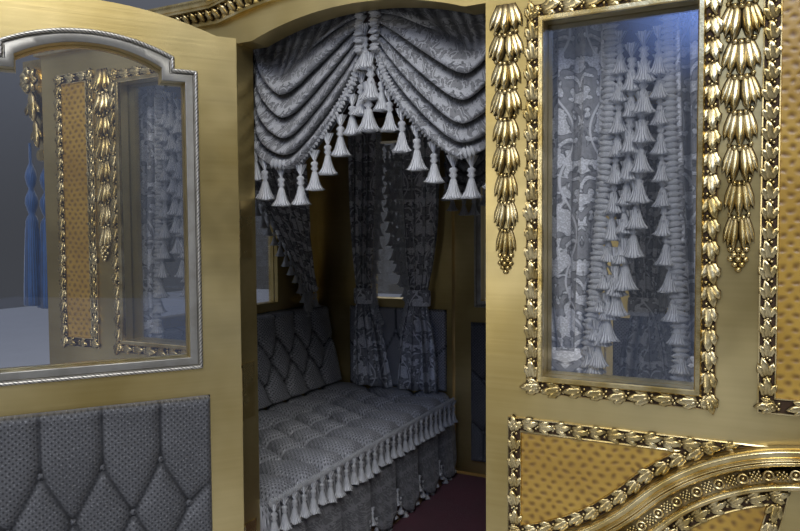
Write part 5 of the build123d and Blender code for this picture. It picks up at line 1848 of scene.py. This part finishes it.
swag, swag_shade = swag_points(rows=56, columns=72)
swags = {"left": swag, "right": swag * MIRROR_X}
for side, place in (("near", Matrix()), ("far", TURN)):
    for half, grid in swags.items():
        sheet, cut = cloth_piece(f"swag_{side}_{half}", grid, swag_shade, FINE_DAMASK, place)
        dress(sheet, "coach_body", "grey_damask", f"valance_{side}")
print("swag cut", cut)


# %% Fringe and braid of the swags
def clear_of_door(line, reach):
    """The same line, so far inside that what reaches out from it stays clear of a closed door."""
    kept = line.copy()
    kept[:, 1] = np.maximum(kept[:, 1], -WALL_Y + DOOR_T + reach)
    return kept


TASSEL_REACH, BRAID_REACH = 34 * mm, 8 * mm
MIDDLE_TASSELS = [
    # place and size
    ((-0.010, -0.606, 1.520), 1.0), ((0.004, -0.606, 1.455), 1.05), ((-0.002, -0.606, 1.390), 1.1)]
hem = swag[-1]
hang = clear_of_door(hem, TASSEL_REACH)[3:67]
edge_up = swag[::-1, -1] + np.array([0, -2 * mm, 0])
inner_run = np.concatenate([hem[22:], edge_up[1:]]) + np.array([-6 * mm, -9 * mm, 9 * mm])
inner_run = clear_of_door(inner_run, BRAID_REACH)
swag_tassels = tassel_row("swag_tassels", [hang, hang * MIRROR_X],
                          pitch=50 * mm, size=1.0, uneven=0.12, seed=5)
braid_flat = [np.column_stack([line[:, 0], line[:, 2], -line[:, 1] + 2 * mm])
              for line in (inner_run, inner_run * MIRROR_X)]
swag_braid = braid_row("swag_braid", braid_flat,
                       pitch=9.5 * mm, size=1.15, uneven=0.15, swing=0.15, seed=6)
swag_braid.data.transform(UPRIGHT)
middle_places = [Matrix.Translation(place) @ Matrix.Scale(size, 4) for place, size in MIDDLE_TASSELS]
extra = [copy_to("middle_tassel", fringe_tassel, [place], keep=True) for place in middle_places]
trim = join_all("swag_trim", [swag_tassels, swag_braid] + extra)
dress(copy_to("swag_fringe", trim, SIDES), "coach_body", "grey_damask")

# %% [markdown]
# ## Window curtains
# Each quarter window has two gathered curtains, tied in at the waist. Their pleats are waves across
# the cloth. Tassels hang down the edge that faces the other curtain, beside a ruched braid.

# %% Curtain cloth
curtain_low, curtain_high = part_box("curtains", near_right)
CURTAIN_Y = (curtain_low.y + curtain_high.y) / 2
CURTAIN_ROWS = {
    # height, outer edge and facing edge, each from the pillar beside the curtain
    "door_side": [(1500, 30, 214), (1300, 32, 210), (1080, 42, 197), (940, 62, 186), (860, 80, 178),
                  (790, 92, 174), (720, 84, 190), (620, 58, 214), (405, 42, 234)],
    "end_side": [(1500, 39, 164), (1300, 40, 158), (1080, 44, 148), (940, 52, 140), (860, 60, 136),
                 (790, 66, 136), (720, 58, 152), (620, 48, 190), (405, 42, 234)],
}
PLEATS = 3.5
WAIST_Z = 0.790
WINDOW_MIDDLE = (GLASS[0] + GLASS[1]) / 2


def curtain_points(lines, rows, columns, phase):
    """Grid and painted shade of one curtain, its outer edge by the door pillar."""
    share = np.linspace(0, 1, rows)
    outline = smooth_line(lines, share) * mm
    t = np.linspace(0, 1, columns)
    grid, shade = np.empty((rows, columns, 3)), np.empty((rows, columns))
    for i, (z, near, far) in enumerate(outline):
        pinch = math.exp(-((z - WAIST_Z) / 0.10) ** 2)
        wave = np.sin(2 * math.pi * PLEATS * t + phase + 1.1 * np.sin(3.3 * t + 2.2 * z))
        crisp = np.sign(wave) * np.abs(wave) ** 0.7
        second = 0.25 * np.sin(2 * math.pi * 2.3 * t + 5 * z + phase)
        deep = (17 - 6 * pinch) * mm
        grid[i, :, 0] = PILLAR_X + near + (far - near) * (t + 0.030 * np.sin(4 * math.pi * PLEATS * t))
        grid[i, :, 1] = CURTAIN_Y + deep * (crisp + second) / 1.25
        grid[i, :, 2] = z
        # Painted shade in the troughs of the pleats, as seen from outside.
        shade[i] = np.clip(1.0 - 0.75 * np.clip(wave, 0, 1) ** 2.5, 0, 1)
    return grid, shade


curtain, curtain_shade = curtain_points(CURTAIN_ROWS["door_side"], rows=46, columns=60, phase=0.6)
other, other_shade = curtain_points(CURTAIN_ROWS["end_side"], rows=46, columns=60, phase=2.4)
other[:, :, 0] = 2 * WINDOW_MIDDLE - other[:, :, 0]
quarter_names = ("near_right", "near_left", "far_left", "far_right")
for quarter, place in zip(quarter_names, QUARTERS):
    for part, grid, shade in (("door_side", curtain, curtain_shade), ("end_side", other, other_shade)):
        sheet, cut = cloth_piece(f"curtain_{quarter}_{part}", grid, shade, DAMASK, place)
        dress(sheet, "coach_body", "grey_damask", "curtains")
print("curtain cut", cut)


# %% Ties, braid and fringe of the curtains
def tie_band(name, x, half_x, material):
    """A flat band round a curtain's waist, oval as the gathered cloth is."""
    tall, half_y, around = 66 * mm, 21 * mm, 36
    points, uv = [], []
    for h, swell in ((-0.5, 0.93), (-0.42, 1.0), (0.0, 1.03), (0.42, 1.0), (0.5, 0.93)):
        for k in range(around + 1):
            a = 2 * math.pi * k / around
            points.append((x + half_x * swell * math.cos(a), CURTAIN_Y + half_y * swell * math.sin(a),
                           WAIST_Z + h * tall))
            uv.append((k / around * 0.26, h * tall))
    return make_piece(name, points, grid_faces(5, around + 1), material, uv=uv, relief=np.ones(len(points)))


ties = [tie_band("tie", PILLAR_X + 133 * mm, 52 * mm, DAMASK),
        tie_band("tie", 2 * WINDOW_MIDDLE - PILLAR_X - 101 * mm, 44 * mm, DAMASK)]
FRINGE_COLUMNS = [
    # distance out from the curtain's edge, start below the top, pitch, size, seed
    (26, 0, 50, 0.90, 8),
    (48, 26, 52, 0.96, 9),
    (70, 8, 54, 1.00, 10),
]
edge_lines = {row: [] for row in FRINGE_COLUMNS}
edge_flats = []
for grid, way, columns_kept in ((curtain, 1, 3), (other, -1, 1)):
    edge = grid[:-8, -1].copy()
    edge[:, 1] = CURTAIN_Y - 8 * mm
    narrowed = np.clip((edge[:, 2] - 0.80) / 0.30, 0.25, 1)[:, None]
    for row in FRINGE_COLUMNS[:columns_kept]:
        outwards = np.array([[way * row[0] * mm, 0, 0]]) * narrowed[2:]
        edge_lines[row].append(edge[2:] + outwards - np.array([0, row[0] * 0.15 * mm, row[1] * mm]))
    edge_flats.append(np.column_stack([edge[:, 0] + way * 10 * mm, edge[:, 2], -edge[:, 1] + 8 * mm]))
columns_of_tassels = [tassel_row("curtain_tassels", lines, pitch * mm, size, uneven=0.15, seed=seed)
                      for (_, _, pitch, size, seed), lines in edge_lines.items()]
curtain_braid = braid_row("curtain_braid", edge_flats,
                          pitch=11 * mm, size=1.45, uneven=0.12, swing=0.15, seed=9)
curtain_braid.data.transform(UPRIGHT)
edging = join_all("curtain_trim", ties + [curtain_braid])
dress(copy_to("curtain_edging", edging, QUARTERS), "coach_body", "grey_damask")
fringe = join_all("fringe", columns_of_tassels)
dress(copy_to("curtain_fringe", fringe, QUARTERS), "coach_body", "grey_damask")

# %% [markdown]
# ## Curtains of the end windows
# These hang inside each end window. They meet at the top and are drawn back to the corners, where
# their feet hang in tassels over the squab, so that the window shows as a narrow gable.

# %% End curtains
END_IN = END_X - 36 * mm
END_CURTAIN_ROWS = [
    # height, edge by the middle and edge by the corner, from the middle of the end
    (1495, 8, 470), (1400, 40, 488), (1250, 130, 512), (1100, 262, 532), (960, 380, 548), (880, 438, 556),
    (800, 462, 580),
]
END_PLEATS = 6


def end_curtain_points(rows, columns):
    """Grid and painted shade of one curtain of the right end, on its far half."""
    outline = smooth_line(END_CURTAIN_ROWS, np.linspace(0, 1, rows)) * mm
    t = np.linspace(0, 1, columns)
    grid, shade = np.empty((rows, columns, 3)), np.empty((rows, columns))
    for i, (z, inner, outer) in enumerate(outline):
        wave = np.sin(2 * math.pi * END_PLEATS * t + 0.9 * np.sin(3.1 * t + 3 * z))
        grid[i, :, 0] = END_IN - (24 + 15 * np.sign(wave) * np.abs(wave) ** 0.7) * mm
        grid[i, :, 1] = inner + (outer - inner) * t
        grid[i, :, 2] = z + 30 * mm * (t - 0.5) * (1.5 - z)
        # Painted shade at the crests and troughs of the pleats.
        shade[i] = np.clip(1.02 - 0.75 * np.abs(wave) ** 6, 0, 1)
    return grid, shade


end_curtain, end_shade = end_curtain_points(rows=34, columns=72)
FLIP_Y = Matrix.Scale(-1, 4, (0, 1, 0))
END_PLACES = {"right_far": Matrix(), "right_near": FLIP_Y, "left_near": TURN, "left_far": TURN @ FLIP_Y}
for corner_name, place in END_PLACES.items():
    sheet, cut = cloth_piece(f"end_curtain_{corner_name}", end_curtain, end_shade, DAMASK, place)
    dress(sheet, "coach_body", "grey_damask")
    f"end_wall_{corner_name.split('_')[0]}"
inner_edge = end_curtain[2:, 0] + np.array([-14 * mm, -4 * mm, 0])
foot_edge = end_curtain[-1, 4:-4] + np.array([-6 * mm, 0, 8 * mm])
end_fringe = tassel_row("end_fringe", [inner_edge, foot_edge],
                        pitch=50 * mm, size=0.86, uneven=0.15, seed=12)
dress(copy_to("end_curtain_fringe", end_fringe, list(END_PLACES.values())), "coach_body", "grey_damask")
print("end curtain cut", cut)

# %% [markdown]
# ## Seat skirts
# Below the cushion hangs a skirt in swags, with a row of tassels under the piping and another along
# its hem. The cloth is gathered, so its face waves, and the hem rises and falls.

# %% Skirt cloth and fringe
skirt_low, skirt_high = part_box("seat_skirts", lambda x, y, z: x > 0)
SKIRT_X = (skirt_low.x + skirt_high.x) / 2
SKIRT_TOP, SKIRT_FOOT = skirt_high.z, skirt_low.z
SKIRT_SWAGS = 7
PIPING_Z = cushion_high.z - 12 * mm
rows, columns = 16, 220
grid, shade = np.empty((rows, columns, 3)), np.empty((rows, columns))
y = np.linspace(-SEAT_Y, SEAT_Y, columns)
lobe = (y + SEAT_Y) / (2 * SEAT_Y) * SKIRT_SWAGS % 1.0
scallop = 1 - np.sin(math.pi * lobe) ** 0.5
for i in range(rows):
    s = i / (rows - 1)
    folds = np.sin(2 * math.pi * SKIRT_SWAGS * 3 * (y + SEAT_Y) / (2 * SEAT_Y) + 1.4 * np.sin(7 * y))
    out = ((1 - scallop) * (0.30 + 1.2 * s) + 0.20 * folds * s) * 16 * mm - 2 * mm
    # Painted shade: the whole skirt is painted at about half tone, darker where the swags meet, and lighter
    # and darker across its folds.
    shade[i] = 0.48 * np.clip(1.05 - (0.4 + 0.6 * s) * scallop ** 2 * 1.5 + 0.12 * folds, 0, 1)
    grid[i, :, 0] = SKIRT_X - out
    grid[i, :, 1] = y
    grid[i, :, 2] = SKIRT_TOP + (SKIRT_FOOT + 80 * mm * scallop - SKIRT_TOP) * s
for side, place in (("right", Matrix()), ("left", TURN)):
    sheet, cut = cloth_piece(f"seat_skirt_{side}", grid, shade, FINE_DAMASK, place)
    dress(sheet, "coach_body", "grey_damask", "seat_skirts")
hem = grid[-1].copy()
hem[:, 0] = SKIRT_X - 8 * mm
top_run = np.array([(cushion_low.x - 3 * mm, v, PIPING_Z - 14 * mm) for v in y[6:-6]])
low_run = hem[6:-6] + np.array([0, 0, 34 * mm])
skirt_tassels = tassel_row("skirt_tassels", [top_run], pitch=44 * mm, size=0.9, uneven=0.15, seed=14)
hem_tassels = tassel_row("hem_tassels", [low_run], pitch=46 * mm, size=0.62, uneven=0.15, seed=15)
braid_line = np.array([(v, PIPING_Z - 10 * mm, 0) for v in y[4:-4]])
seat_braid = braid_row("seat_braid", [braid_line], pitch=9 * mm, size=1.0, uneven=0.1, swing=0.1, seed=16)
seat_braid.data.transform(Matrix.Translation((cushion_low.x - 1 * mm, 0, 0)) @ STOOD_ACROSS)
trim = join_all("seat_trim", [skirt_tassels, hem_tassels, seat_braid])
dress(copy_to("seat_fringe", trim, SIDES), "coach_body", "grey_damask")
print("hangings done")

# %% [markdown]
# ## Blue corner tassels
# A heavy silk tassel hangs from each corner console: a cord, two turned knobs bound with silk, a
# collar and a long skirt of threads. It is built like the small ones, with more flutes.

# %% Corner tassels
corner_low, corner_high = part_box("corner_tassels", near_right)
corner_tall = corner_high.z - corner_low.z
CORNER_PROFILE = [
    # share of the height from the foot, radius, fluted
    (1.00, 5, 0), (0.88, 5, 0.3), (0.86, 9, 0.2), (0.82, 17, 0.2), (0.79, 19, 0.2), (0.75, 15, 0.2),
    (0.72, 8, 0.2), (0.70, 12, 0.2), (0.665, 20, 0.2), (0.63, 21, 0.2), (0.59, 15, 0.2), (0.565, 10, 0.2),
    (0.545, 16, 0.3), (0.52, 20, 0.5), (0.49, 20, 0.6), (0.47, 22, 0.8), (0.30, 26, 1.1), (0.10, 30, 1.3),
    (0.00, 31, 1.5),
]
corner_profile = [(corner_low.z + share * corner_tall, r * mm, f) for share, r, f in CORNER_PROFILE]
corner = tassel_unit("corner_tassel", corner_profile, BLUE_SILK, around=32, flute=0.07)
corner_middle = (corner_low + corner_high) / 2
SECOND_TASSEL = Matrix.Translation((28 * mm, -30 * mm, 8 * mm)) @ Matrix.Diagonal((0.82, 0.82, 1, 1))
corner = copy_to("corner_pair", corner, [Matrix(), SECOND_TASSEL])
corner.data.transform(Matrix.Translation((corner_middle.x, corner_middle.y, 0)))
dress(copy_to("corner_tassels_silk", corner, QUARTERS), "coach_body", "blue_silk", "corner_tassels")

# %% Remove what was only copied from
for pattern in (frame_unit, rosette, boss, cove_leaf, *husks, bunch, sash, door_carving, *door_pad,
                *cushion, *squab, *side_pad, fringe_tassel, ruche):
    bpy.data.objects.remove(pattern)

# %% [markdown]
# ## Sizes
# The box of the dressed body is measured, and the triangles of the shown pieces are counted and printed.

# %% Measure the sizes and count the triangles
import json

low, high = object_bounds()
triangles = {piece.name: sum(len(p.vertices) - 2 for p in piece.data.polygons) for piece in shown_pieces()}
print("triangles", sum(triangles.values()), sorted(triangles.items(), key=lambda pair: -pair[1])[:6])
